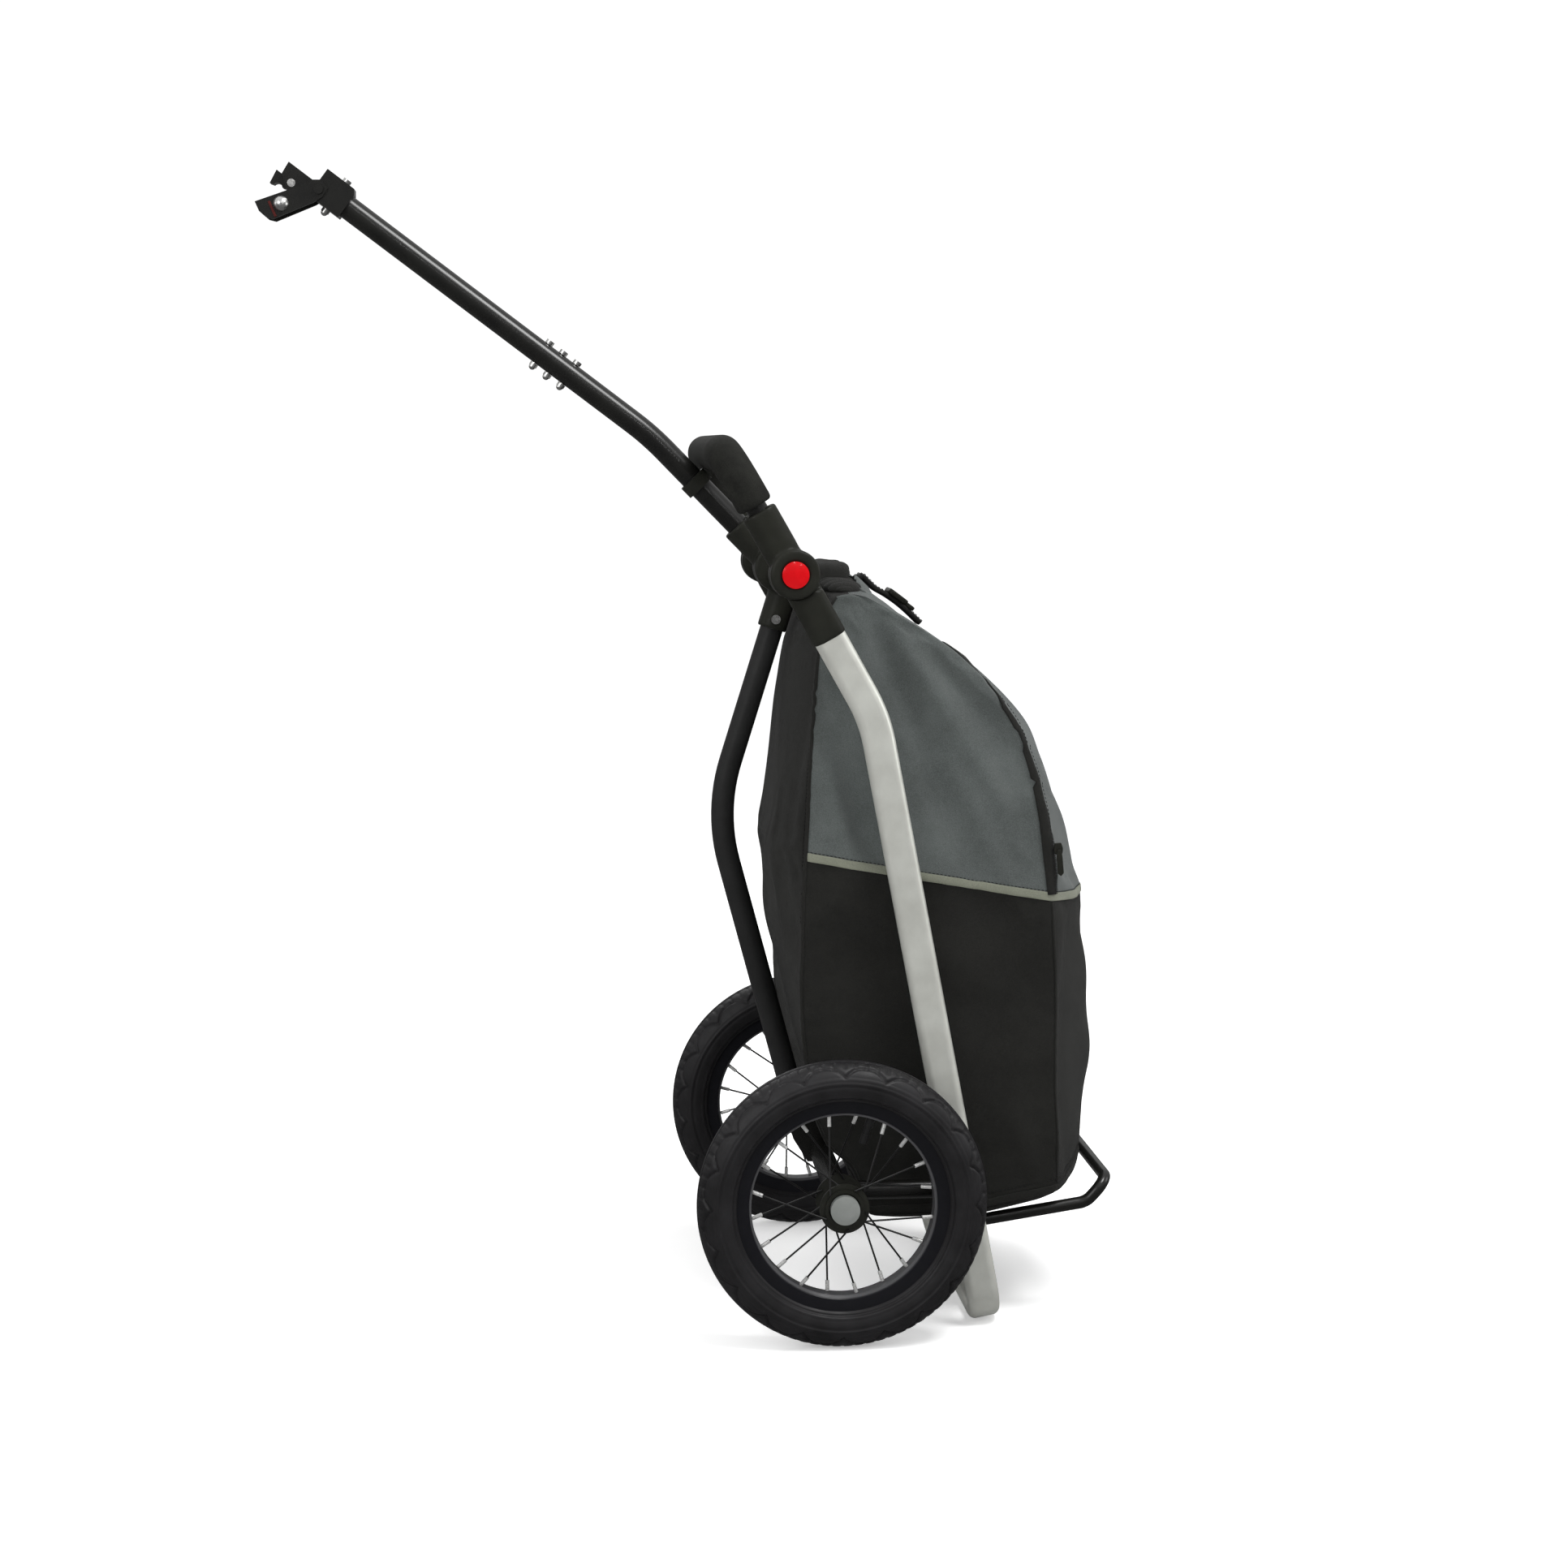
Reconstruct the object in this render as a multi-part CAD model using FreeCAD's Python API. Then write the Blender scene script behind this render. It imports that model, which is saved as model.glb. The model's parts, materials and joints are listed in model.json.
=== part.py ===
import FreeCAD, Part
import math
import os

V = FreeCAD.Vector

# ---------------------------------------------------------------------------
# Driving dimensions, in millimetres and degrees.
# X is measured from the wheel axle, towards the bag's front. Z is height above the ground.
# AXLE_X then moves everything so that the whole trolley is centred on the origin.
# ---------------------------------------------------------------------------
AXLE_X = 149.347
AXLE_Z = 150.0

# wheels: 12 1/2 inch tyres, 47 mm wide, on a 203 mm bead
TRACK = 480.0
TYRE_WIDTH_R = 23.5
TYRE_RING_R = AXLE_Z - TYRE_WIDTH_R
TUBE_R = 15.9
TUBE_RING_R = 129.0
RIM_INNER_R = 94.5
RIM_FLANGE_R = 111.0
BEAD_R = 101.2
BEAD_HALF = 9.2
CHANNEL_R = RIM_FLANGE_R + 1.3
CHANNEL_HALF = 10.6
HUB_BODY_R = 20.0
HUB_WAIST_R = 16.0
HUB_FLANGE_R = 25.5
HUB_BORE_R = 12.0
BEARING_R = 14.0
BEARING_WIDTH = 8.0
BEARINGS_AT = (-17.5, 20.0)
SPOKES_PER_FLANGE = 10
SPOKE_R = 1.0
SPOKE_HOLE_R = 21.5
SPOKE_OUTSIDE = 2.75
SPOKE_INSIDE = 2.3
FIRST_SPOKE_DEG = 9.0
NIPPLE_R = 2.0
NIPPLE_LENGTH = 11.0
RIM_HOLE_OFFSET = 3.0
VALVE_DEG = 72.0
VALVE_STEM_R = 3.6
VALVE_BASE_R = 4.6
VALVE_CAP_R = 4.2
AXLE_PIN_R = 6.0
AXLE_TUBE_INNER_R = 10.5
RELEASE_STEM_R = 3.0
RUNNING_GAP = 0.05

# side tubes: flat-oval aluminium, bent edgewise behind the bag and flatwise at the foot
SIDE_Y = 190.0
OVAL_WIDE = 34.0
OVAL_THIN = 16.0
OVAL_WALL = 1.8
BORE_WIDE = OVAL_WIDE - 2 * OVAL_WALL
BORE_THIN = OVAL_THIN - 2 * OVAL_WALL
UPPER_TILT = 29.5
LOWER_TILT = 11.1
LOWER_X_AT_266 = 110.0
BEND_R = 160.0
FOOT_BEND_R = 40.0
FOOT_BAR_HALF = 125.0
FOOT_SPIGOT = 20.0
RAIL_R = 10.0
RAIL_Y = 187.0
RAIL_REACH = 121.0

# folding joint between the side tubes and the handle
JOINT_X = -48.0
JOINT_Z = 793.0
KNUCKLE_R = 25.0
SLEEVE_REACH = 75.0
SLEEVE_WIDE = 36.0
LOWER_SLEEVE_THIN = 19.0
UPPER_SLEEVE_THIN = 27.0
SLEEVE_CLEAR_R = KNUCKLE_R + 0.6
FOLD_MAX = 110.0
KNUCKLE_IN = 173.0
KNUCKLE_SPLIT = 190.0
KNUCKLE_OUT = 207.0
KNUCKLE_GAP = 0.15
BUTTON_R = 13.75
BUTTON_OUT = 212.0
PIVOT_R = 6.0
PIVOT_COLLAR = (193.0, 195.2)
CROSS_TUBE_R = 10.0

# handle: round U bar in a foam grip
HANDLE_DEG = 120.0
HANDLE_START = 46.0
HANDLE_REACH = 141.0
HANDLE_TUBE_R = 11.0
HANDLE_CORNER_R = 45.0
FOAM_R = 18.0
FOAM_START = 80.0

# drawbar and strut: round steel tube in the middle plane
TUBE25_R = 12.5
DRAWBAR_LOW_DEG = 134.5
DRAWBAR_HIGH_DEG = 143.3
DRAWBAR_START = 22.0
DRAWBAR_BEND_AT = 197.0
DRAWBAR_BEND_R = 300.0
DRAWBAR_SPLICE = 117.0
DRAWBAR_HIGH_LENGTH = 435.0
SOCKET_R = 17.5
SOCKET_REACH = 63.0
STRUT_BEND = (-116.0, 527.0)
STRUT_TOP = (-45.6, 756.0)
STRUT_FOOT = (-18.0, 168.0)
STRUT_BEND_R = 200.0
STRUT_SOCKET_R = 15.5
STRUT_BOLT_R = 3.0
STRUT_BOLT_IN = 20.0
COLLAR_AT = (119.0, 133.0)
COLLAR_R = 16.0
HUB_CORE_R = 26.0
HUB_HALF = 22.0
THIN_WALL = 1.5
SPLICE_SLEEVE_HALF = 42.0
SPLICE_BOLT_STEP = 18.0

# hitch, measured along the upper drawbar from its end and square to it
SLEEVE_LENGTH = 38.0
SLEEVE_LOW = -15.0
SLEEVE_HIGH = 19.0
HITCH_HALF = 17.0
TONGUE_HALF = 10.0
JAW_PLATE = 3.0
JAW_GAP = 0.3
SEAT_R = 5.0
PIVOT_BOLT_R = 3.0
CLAMP_BOLT_R = 3.5
CLAMP_DOME_R = 8.5

# shelf under the bag
SHELF_ROD = (143.0, 103.0)
SHELF_ROD_R = 6.0
SHELF_TUBE_R = 6.5
SHELF_Y = 150.0
SHELF_ROD_HALF = SIDE_Y - OVAL_THIN / 2 - RUNNING_GAP
SHELF_KNEE = (272.0, 123.0)
SHELF_CORNER = (294.0, 147.5)

# hooks and carry strap of the bag
HOOK_Y = (-124.0, -100.0)
HOOK_R = 14.0
STRAP_X = 14.0
STRAP_WIDE = 30.0
STRAP_THICK = 7.0
STRAP_BEND_R = 14.0

parts = {}


# ---------------------------------------------------------------------------
# Helpers
# ---------------------------------------------------------------------------
def at(x, z, y=0.0):
    """A point from its distance in front of the axle, its height and its distance from the middle plane."""
    return V(AXLE_X + x, y, z)


def heading(degrees):
    """Unit direction in the XZ plane, turned from +X towards +Z."""
    return V(math.cos(math.radians(degrees)), 0, math.sin(math.radians(degrees)))


def square_to(direction):
    """The XZ direction a quarter turn anticlockwise from the given one, seen from the left side."""
    return V(-direction.z, 0, direction.x)


def unit(vector):
    return V(vector).normalize()


def add(name, shape):
    parts[name] = shape


def mirrored(shape):
    return shape.mirror(V(0, 0, 0), V(0, 1, 0))


def both_sides(shape):
    return Part.makeCompound([shape, mirrored(shape)])


def group(solids):
    return Part.makeCompound(solids)


def rod(start, end, radius):
    axis = end - start
    return Part.makeCylinder(radius, axis.Length, start, axis)


def pipe(start, end, outer, inner):
    return rod(start, end, outer).cut(rod(start, end, inner))


def across(x, z, y0, y1, radius):
    """Cylinder along Y."""
    return rod(at(x, z, y0), at(x, z, y1), radius)


def plate(points, y0, y1):
    """Flat polygon in the XZ plane, given as points, pushed from y0 to y1."""
    loop = [V(p.x, y0, p.z) for p in points]
    face = Part.Face(Part.makePolygon(loop + loop[:1]))
    return face.extrude(V(0, y1 - y0, 0))


def bent_path(points, radii):
    """Straight runs between the points, with a tangent arc at each inner point."""
    edges = []
    start = points[0]
    for before, corner, after, radius in zip(points, points[1:], points[2:], radii):
        back = unit(before - corner)
        ahead = unit(after - corner)
        half_turn = (math.pi - back.getAngle(ahead)) / 2
        reach = radius * math.tan(half_turn)
        arc_in = corner + back * reach
        arc_out = corner + ahead * reach
        inward = unit(back + ahead)
        centre = corner + inward * (radius / math.cos(half_turn))
        edges.append(Part.LineSegment(start, arc_in).toShape())
        edges.append(Part.Arc(arc_in, centre - inward * radius, arc_out).toShape())
        start = arc_out
    edges.append(Part.LineSegment(start, points[-1]).toShape())
    return Part.Wire(edges)


def bent_rod(points, radii, radius):
    path = bent_path(points, radii)
    profile = Part.Wire(Part.makeCircle(radius, points[0], points[1] - points[0]))
    return path.makePipeShell([profile], True, False)


def bent_pipe(points, radii, outer, inner):
    return bent_rod(points, radii, outer).cut(bent_rod(points, radii, inner))


def oval_wire(centre, wide_direction, thin_direction, wide, thin):
    """Flat-oval outline: two straight sides joined by half circles."""
    run = wide_direction * ((wide - thin) / 2)
    end = wide_direction * (wide / 2)
    side = thin_direction * (thin / 2)
    corners = [centre + run + side, centre - run + side, centre - run - side, centre + run - side]
    edges = [
        Part.LineSegment(corners[0], corners[1]).toShape(),
        Part.Arc(corners[1], centre - end, corners[2]).toShape(),
        Part.LineSegment(corners[2], corners[3]).toShape(),
        Part.Arc(corners[3], centre + end, corners[0]).toShape(),
    ]
    return Part.Wire(edges)


def oval_bar(start, end, wide, thin):
    """Straight flat-oval bar in an XZ plane, its thin side across Y."""
    along = unit(end - start)
    wire = oval_wire(start, square_to(along), V(0, 1, 0), wide, thin)
    return Part.Face(wire).extrude(end - start)


def turned(profile):
    """Solid of revolution about the wheel axis from (radius, offset from the wheel's plane) points."""
    loop = [at(0, AXLE_Z + r, WHEEL_Y + offset) for r, offset in profile]
    face = Part.Face(Part.makePolygon(loop + loop[:1]))
    return face.revolve(WHEEL_CENTRE, V(0, 1, 0), 360)


def ring(radius, wire_r, centre):
    return Part.makeTorus(radius, wire_r, centre, V(0, 1, 0))


# ---------------------------------------------------------------------------
# Wheels: built on the left side (negative Y), offsets grow inwards, then mirrored
# ---------------------------------------------------------------------------
HUB_OUT = -24.0
HUB_IN = 31.0
FLANGES = (-20.25, 21.25)
FLANGE_HALF = 1.75
FLANGE_ROOT = 4.5
CAP_R = 15.0
CAP_OUT = 272.0
WHEEL_Y = -TRACK / 2
WHEEL_CENTRE = at(0, AXLE_Z, WHEEL_Y)


def tyre():
    """Round carcass on a bead that fills the rim's channel, with a sealed room for the inner tube."""
    carcass = ring(TYRE_RING_R, TYRE_WIDTH_R, WHEEL_CENTRE)
    inner_limit = across(0, AXLE_Z, WHEEL_Y - TYRE_WIDTH_R, WHEEL_Y + TYRE_WIDTH_R, CHANNEL_R)
    bead = turned([(BEAD_R, -BEAD_HALF), (CHANNEL_R, -CHANNEL_HALF), (CHANNEL_R, CHANNEL_HALF),
                   (BEAD_R, BEAD_HALF)])
    cavity = ring(TUBE_RING_R, TUBE_R + 0.1, WHEEL_CENTRE)
    return carcass.cut(inner_limit).fuse(bead).cut(cavity).cut(valve_stem(RUNNING_GAP)).removeSplitter()


def valve_stem(extra=0.0):
    """Stem from inside the tube's wall to a screwed cap among the spokes."""
    along = heading(VALVE_DEG)
    root = WHEEL_CENTRE + along * (TUBE_RING_R - TUBE_R + 3)
    stem = rod(WHEEL_CENTRE + along * 70, root, VALVE_STEM_R + extra)
    base = rod(WHEEL_CENTRE + along * 84, root, VALVE_BASE_R + extra)
    cap = rod(WHEEL_CENTRE + along * 66, WHEEL_CENTRE + along * 76, VALVE_CAP_R + extra)
    return stem.fuse([base, cap])


def inner_tube():
    air = ring(TUBE_RING_R, TUBE_R, WHEEL_CENTRE)
    return air.fuse(valve_stem()).removeSplitter()


def rim():
    """Shallow channel: a bed that the spokes pull on and two walls that hold the tyre's bead."""
    side = [(RIM_INNER_R, 0), (RIM_INNER_R, -8.5), (98, -12), (RIM_FLANGE_R, -13.5), (RIM_FLANGE_R, -11),
            (101, -9.5), (99.5, 0)]
    other = [(r, -offset) for r, offset in reversed(side[1:-1])]
    return turned(side + other).cut(valve_stem(RUNNING_GAP))


def hub():
    """Spool with two coned flanges, a counterbore for the release cap and a seat for each bearing."""
    outer = [(18, HUB_IN), (HUB_BODY_R, HUB_IN), (HUB_BODY_R, 24), (HUB_WAIST_R, 23)]
    for middle in reversed(FLANGES):
        outer += [(HUB_WAIST_R, middle + FLANGE_ROOT), (HUB_FLANGE_R, middle + FLANGE_HALF)]
        outer += [(HUB_FLANGE_R, middle - FLANGE_HALF)]
        if middle > 0:
            outer += [(HUB_WAIST_R, middle - FLANGE_ROOT)]
        else:
            outer += [(HUB_BODY_R, middle - FLANGE_HALF), (HUB_BODY_R, HUB_OUT)]
    cap_well = [(CAP_R + 1.3, HUB_OUT), (CAP_R + 1.3, -18)]
    seats = [(BEARING_R, -18), (BEARING_R, -9.5), (HUB_BORE_R, -9.5), (HUB_BORE_R, 20), (BEARING_R, 20),
             (BEARING_R, 28.5), (HUB_BORE_R, HUB_IN)]
    return turned(outer + cap_well + seats)


def bearings():
    inner = AXLE_PIN_R + RUNNING_GAP
    return group([turned([(inner, low), (BEARING_R, low), (BEARING_R, low + BEARING_WIDTH),
                          (inner, low + BEARING_WIDTH)]) for low in BEARINGS_AT])


def spoke_lines():
    """Hub and rim ends of every spoke; alternate rim holes belong to the two flanges."""
    step = 180.0 / SPOKES_PER_FLANGE
    for k in range(2 * SPOKES_PER_FLANGE):
        rim_deg = 90 + FIRST_SPOKE_DEG - step * k
        flange = FLANGES[k % 2]
        lean = 1 if (k // 2) % 2 == 0 else -1
        away = -1 if k % 2 == 0 else 1
        face = away * lean * (FLANGE_HALF + (SPOKE_OUTSIDE if lean > 0 else SPOKE_INSIDE))
        hub_end = WHEEL_CENTRE + heading(rim_deg + 2 * step * lean) * SPOKE_HOLE_R + V(0, flange + face, 0)
        rim_end = WHEEL_CENTRE + heading(rim_deg) * (RIM_INNER_R - 0.6) + V(0, away * RIM_HOLE_OFFSET, 0)
        yield hub_end, rim_end


def spokes():
    solids = []
    for hub_end, rim_end in spoke_lines():
        solids.append(rod(hub_end, rim_end + unit(hub_end - rim_end) * NIPPLE_LENGTH, SPOKE_R))
    return group(solids)


def nipples():
    solids = []
    for hub_end, rim_end in spoke_lines():
        solids.append(rod(rim_end, rim_end + unit(hub_end - rim_end) * NIPPLE_LENGTH, NIPPLE_R))
    return group(solids)


def wheel(side, place):
    for name, make in (("tyre", tyre), ("inner_tube", inner_tube), ("rim", rim), ("hub", hub),
                       ("bearings", bearings), ("spokes", spokes), ("nipples", nipples)):
        add(side + "_" + name, place(make()))


def same(shape):
    return shape


# ---------------------------------------------------------------------------
# Axles
# ---------------------------------------------------------------------------
CROSSBAR_HALF = 205.0
RECEIVER_END = 160.0
PIN_HEAD = (258.8, 260.8)
CAP_BACK = 262.0
STEM_END = 240.0


def axle_crossbar():
    return pipe(at(0, AXLE_Z, -CROSSBAR_HALF), at(0, AXLE_Z, CROSSBAR_HALF), TUBE25_R, AXLE_TUBE_INNER_R)


def axle_receivers():
    """Plugs in the ends of the cross bar that take the quick-release pins."""
    outer_end = at(0, AXLE_Z, -CROSSBAR_HALF)
    inner_end = at(0, AXLE_Z, -RECEIVER_END)
    return both_sides(pipe(outer_end, inner_end, AXLE_TUBE_INNER_R, AXLE_PIN_R))


def axle_pins():
    shank = across(0, AXLE_Z, -PIN_HEAD[0], -RECEIVER_END, AXLE_PIN_R)
    head = across(0, AXLE_Z, -PIN_HEAD[1], -PIN_HEAD[0], 11.0)
    stem_hole = across(0, AXLE_Z, -PIN_HEAD[1], -(STEM_END - 10), RELEASE_STEM_R + RUNNING_GAP)
    return both_sides(shank.fuse(head).cut(stem_hole).removeSplitter())


def release_button():
    """Shallow domed cap over the pin's head, on a stem that runs down the pin."""
    dome_r = 60.0
    dome = Part.makeSphere(dome_r, at(0, AXLE_Z, -(CAP_OUT - dome_r)))
    cap = across(0, AXLE_Z, -CAP_OUT, -CAP_BACK, CAP_R).common(dome)
    stem = across(0, AXLE_Z, -(CAP_OUT - 2), -STEM_END, RELEASE_STEM_R)
    return cap.cut(across(0, AXLE_Z, -(CAP_OUT - 3), -CAP_BACK, 11.5)).fuse(stem).removeSplitter()


def release_springs():
    coils = [ring(5.0, 0.6, at(0, AXLE_Z, -(261.6 + 1.4 * k))) for k in range(3)]
    return group(coils + [mirrored(coil) for coil in coils])


# ---------------------------------------------------------------------------
# Side frame
# ---------------------------------------------------------------------------
down_upper = V(math.sin(math.radians(UPPER_TILT)), 0, -math.cos(math.radians(UPPER_TILT)))
down_lower = V(math.sin(math.radians(LOWER_TILT)), 0, -math.cos(math.radians(LOWER_TILT)))
JOINT = at(JOINT_X, JOINT_Z)


def lower_line(z):
    """Middle of the lower side tube at a height."""
    return at(LOWER_X_AT_266 + (266.0 - z) * math.tan(math.radians(LOWER_TILT)), z)


def crossing(point_a, direction_a, point_b, direction_b):
    """Where two lines in the XZ plane meet."""
    gap = point_b - point_a
    turn = direction_a.x * direction_b.z - direction_a.z * direction_b.x
    return point_a + direction_a * ((gap.x * direction_b.z - gap.z * direction_b.x) / turn)


SIDE_BEND = crossing(JOINT, down_upper, lower_line(266.0), down_lower)
FOOT_RISE = OVAL_THIN / 2 + (OVAL_WIDE - OVAL_THIN) / 2 * math.sin(math.radians(LOWER_TILT))
FOOT = lower_line(FOOT_RISE)
LOWER_ARM_DEG = UPPER_TILT - 90.0


def side_solid(wide, thin):
    left = V(0, -SIDE_Y, 0)
    top = JOINT + down_upper * SLEEVE_REACH + left
    path = bent_path([top, SIDE_BEND + left, FOOT + left, FOOT - V(0, FOOT_BAR_HALF, 0)], [BEND_R, FOOT_BEND_R])
    profile = oval_wire(top, square_to(down_upper), V(0, 1, 0), wide, thin)
    return path.makePipeShell([profile], True, False)


def side_tube():
    return side_solid(OVAL_WIDE, OVAL_THIN).cut(side_solid(BORE_WIDE, BORE_THIN))


def foot_section(half_length, wide, thin):
    wide_way = square_to(down_lower)
    wire = oval_wire(FOOT - V(0, half_length, 0), wide_way, square_to(wide_way), wide, thin)
    return Part.Face(wire).extrude(V(0, 2 * half_length, 0))


def foot_bar():
    hollow = foot_section(FOOT_BAR_HALF, BORE_WIDE, BORE_THIN)
    return foot_section(FOOT_BAR_HALF, OVAL_WIDE, OVAL_THIN).cut(hollow)


def foot_spigots():
    """Plugs that join the foot bar to the side tubes, half in each."""
    slack = 0.4
    long_bar = foot_section(FOOT_BAR_HALF + FOOT_SPIGOT, BORE_WIDE - slack, BORE_THIN - slack)
    middle = foot_section(FOOT_BAR_HALF - 1.5 * FOOT_SPIGOT, OVAL_WIDE, OVAL_THIN)
    return long_bar.cut(middle)


def side_rails():
    """Short tubes from the axle's cross bar to the side tubes, coped to both."""
    rail = rod(at(0, AXLE_Z, -RAIL_Y), at(RAIL_REACH, AXLE_Z, -RAIL_Y), RAIL_R)
    axle_cope = across(0, AXLE_Z, -RAIL_Y - 2 * RAIL_R, -RAIL_Y + 2 * RAIL_R, TUBE25_R)
    rail = rail.cut(axle_cope).cut(side_solid(OVAL_WIDE, OVAL_THIN))
    rail = max(rail.Solids, key=lambda solid: solid.Volume)
    return both_sides(rail)


# ---------------------------------------------------------------------------
# Folding joints
# ---------------------------------------------------------------------------
def at_joint(y0, y1, radius):
    return across(JOINT_X, JOINT_Z, y0, y1, radius)


def passing_arm(start_deg, turn, y0, y1):
    """Room that the other housing's arm sweeps near the end of the fold, from y0 to y1."""
    room = []
    for fold in range(int(FOLD_MAX) - 14, int(FOLD_MAX) + 3, 4):
        along = heading(start_deg + turn * fold)
        half = square_to(along) * (SLEEVE_WIDE / 2 + 0.7)
        start = JOINT + V(0, y0, 0)
        end = start + along * SLEEVE_REACH
        outline = [start - half, end - half, end + half, start + half]
        room.append(Part.Face(Part.makePolygon(outline + outline[:1])).extrude(V(0, y1 - y0, 0)))
    return room


def lower_housing():
    inner_face = -KNUCKLE_SPLIT + KNUCKLE_GAP
    knuckle = at_joint(inner_face, -KNUCKLE_IN, KNUCKLE_R)
    left = V(0, -SIDE_Y, 0)
    arm = oval_bar(JOINT + left, JOINT + down_upper * SLEEVE_REACH + left, SLEEVE_WIDE, LOWER_SLEEVE_THIN)
    arm = arm.cut(at_joint(-KNUCKLE_OUT, inner_face, SLEEVE_CLEAR_R))
    arm = arm.cut(passing_arm(HANDLE_DEG, -1, -KNUCKLE_OUT, inner_face))
    spigot = oval_bar(JOINT + down_upper * 60 + left, JOINT + down_upper * 115 + left, 30.0, 12.0)
    return knuckle.fuse([arm, spigot]).cut(at_joint(-KNUCKLE_OUT, -KNUCKLE_IN, PIVOT_R)).removeSplitter()


def upper_housing():
    inner_face = -KNUCKLE_SPLIT - KNUCKLE_GAP
    up = heading(HANDLE_DEG)
    left = V(0, -SIDE_Y, 0)
    knuckle = at_joint(-KNUCKLE_OUT, inner_face, KNUCKLE_R)
    arm = oval_bar(JOINT + left, JOINT + up * (SLEEVE_REACH - 2) + left, SLEEVE_WIDE, UPPER_SLEEVE_THIN)
    arm = arm.cut(at_joint(inner_face, -KNUCKLE_IN + 10, SLEEVE_CLEAR_R))
    arm = arm.cut(passing_arm(LOWER_ARM_DEG, 1, inner_face, -KNUCKLE_IN + 10))
    socket = rod(JOINT + up * HANDLE_START + left, JOINT + up * FOAM_START + left, HANDLE_TUBE_R)
    button_well = at_joint(-KNUCKLE_OUT, -PIVOT_COLLAR[0], BUTTON_R + 0.25)
    pivot_hole = at_joint(-KNUCKLE_OUT, -KNUCKLE_IN, PIVOT_R + RUNNING_GAP)
    return knuckle.fuse(arm).cut(socket).cut(button_well).cut(pivot_hole).removeSplitter()


def pivot_pins():
    shank = at_joint(-PIVOT_COLLAR[1] - 0.8, -KNUCKLE_IN, PIVOT_R)
    collar = at_joint(-PIVOT_COLLAR[1], -PIVOT_COLLAR[0] - 0.3, 9.0)
    return both_sides(shank.fuse(collar).removeSplitter())


def red_button():
    dome_r = 45.0
    back = 199.0
    dome = Part.makeSphere(dome_r, at(JOINT_X, JOINT_Z, -(BUTTON_OUT - dome_r)))
    cap = at_joint(-BUTTON_OUT, -back, BUTTON_R).common(dome)
    return cap.cut(at_joint(-(BUTTON_OUT - 3), -back, 10.0))


def button_springs():
    coils = [ring(8.0, 0.7, at(JOINT_X, JOINT_Z, -(196.9 + 1.6 * k))) for k in range(4)]
    return group(coils + [mirrored(coil) for coil in coils])


def cross_tube():
    return pipe(at(JOINT_X, JOINT_Z, -KNUCKLE_IN), at(JOINT_X, JOINT_Z, KNUCKLE_IN), CROSS_TUBE_R, 8.0)


# ---------------------------------------------------------------------------
# Handle
# ---------------------------------------------------------------------------
def handle_path(start):
    up = heading(HANDLE_DEG)
    side = V(0, SIDE_Y, 0)
    bar = JOINT + up * HANDLE_REACH
    return [JOINT + up * start - side, bar - side, bar + side, JOINT + up * start + side]


def handle_bar():
    return bent_pipe(handle_path(HANDLE_START), [HANDLE_CORNER_R] * 2, HANDLE_TUBE_R, HANDLE_TUBE_R - THIN_WALL)


def foam_grip():
    return bent_pipe(handle_path(FOAM_START), [HANDLE_CORNER_R] * 2, FOAM_R, HANDLE_TUBE_R)


# ---------------------------------------------------------------------------
# Central hub, strut and drawbar
# ---------------------------------------------------------------------------
drawbar_low = heading(DRAWBAR_LOW_DEG)
drawbar_high = heading(DRAWBAR_HIGH_DEG)
drawbar_up = square_to(drawbar_high) * -1
DRAWBAR_BEND = JOINT + drawbar_low * DRAWBAR_BEND_AT
DRAWBAR_END = DRAWBAR_BEND + drawbar_high * DRAWBAR_HIGH_LENGTH
SPLICE = DRAWBAR_BEND + drawbar_high * DRAWBAR_SPLICE
strut_up = unit(at(*STRUT_TOP) - at(*STRUT_BEND))
strut_down = unit(at(*STRUT_FOOT) - at(*STRUT_BEND))


def central_hub():
    """Block on the cross tube with a long socket for the drawbar and a short one for the strut."""
    core = at_joint(-HUB_HALF, HUB_HALF, HUB_CORE_R)
    drawbar_socket = rod(JOINT, JOINT + drawbar_low * SOCKET_REACH, SOCKET_R)
    strut_socket = rod(at(*STRUT_TOP) + strut_up * HUB_HALF, at(*STRUT_TOP) - strut_up * 31, STRUT_SOCKET_R)
    solid = core.fuse([drawbar_socket, strut_socket])
    solid = solid.cut(rod(JOINT + drawbar_low * (DRAWBAR_START - 0.5), JOINT + drawbar_low * (SOCKET_REACH + 7),
                          TUBE25_R + RUNNING_GAP))
    solid = solid.cut(rod(at(*STRUT_TOP), at(*STRUT_TOP) - strut_up * 40, TUBE25_R))
    solid = solid.cut(at_joint(-HUB_HALF, HUB_HALF, CROSS_TUBE_R))
    return solid.cut(strut_bolt(at(*STRUT_TOP) - strut_up * STRUT_BOLT_IN, STRUT_SOCKET_R + 1)).removeSplitter()


def strut():
    tube = bent_pipe([at(*STRUT_TOP), at(*STRUT_BEND), at(*STRUT_FOOT)], [STRUT_BEND_R], TUBE25_R,
                     TUBE25_R - THIN_WALL)
    return tube.cut(strut_bolts())


def strut_bolt(centre, half_width):
    shank = rod(centre - V(0, half_width + 4, 0), centre + V(0, half_width + 4, 0), STRUT_BOLT_R)
    heads = [rod(centre + V(0, sign * half_width, 0), centre + V(0, sign * (half_width + 4), 0), 5.0)
             for sign in (-1, 1)]
    return shank.fuse(heads).removeSplitter()


def strut_bolts():
    top = strut_bolt(at(*STRUT_TOP) - strut_up * STRUT_BOLT_IN, STRUT_SOCKET_R + 0.1)
    foot = strut_bolt(at(*STRUT_FOOT) - strut_down * 25, 15.8)
    return group([top, foot])


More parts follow.
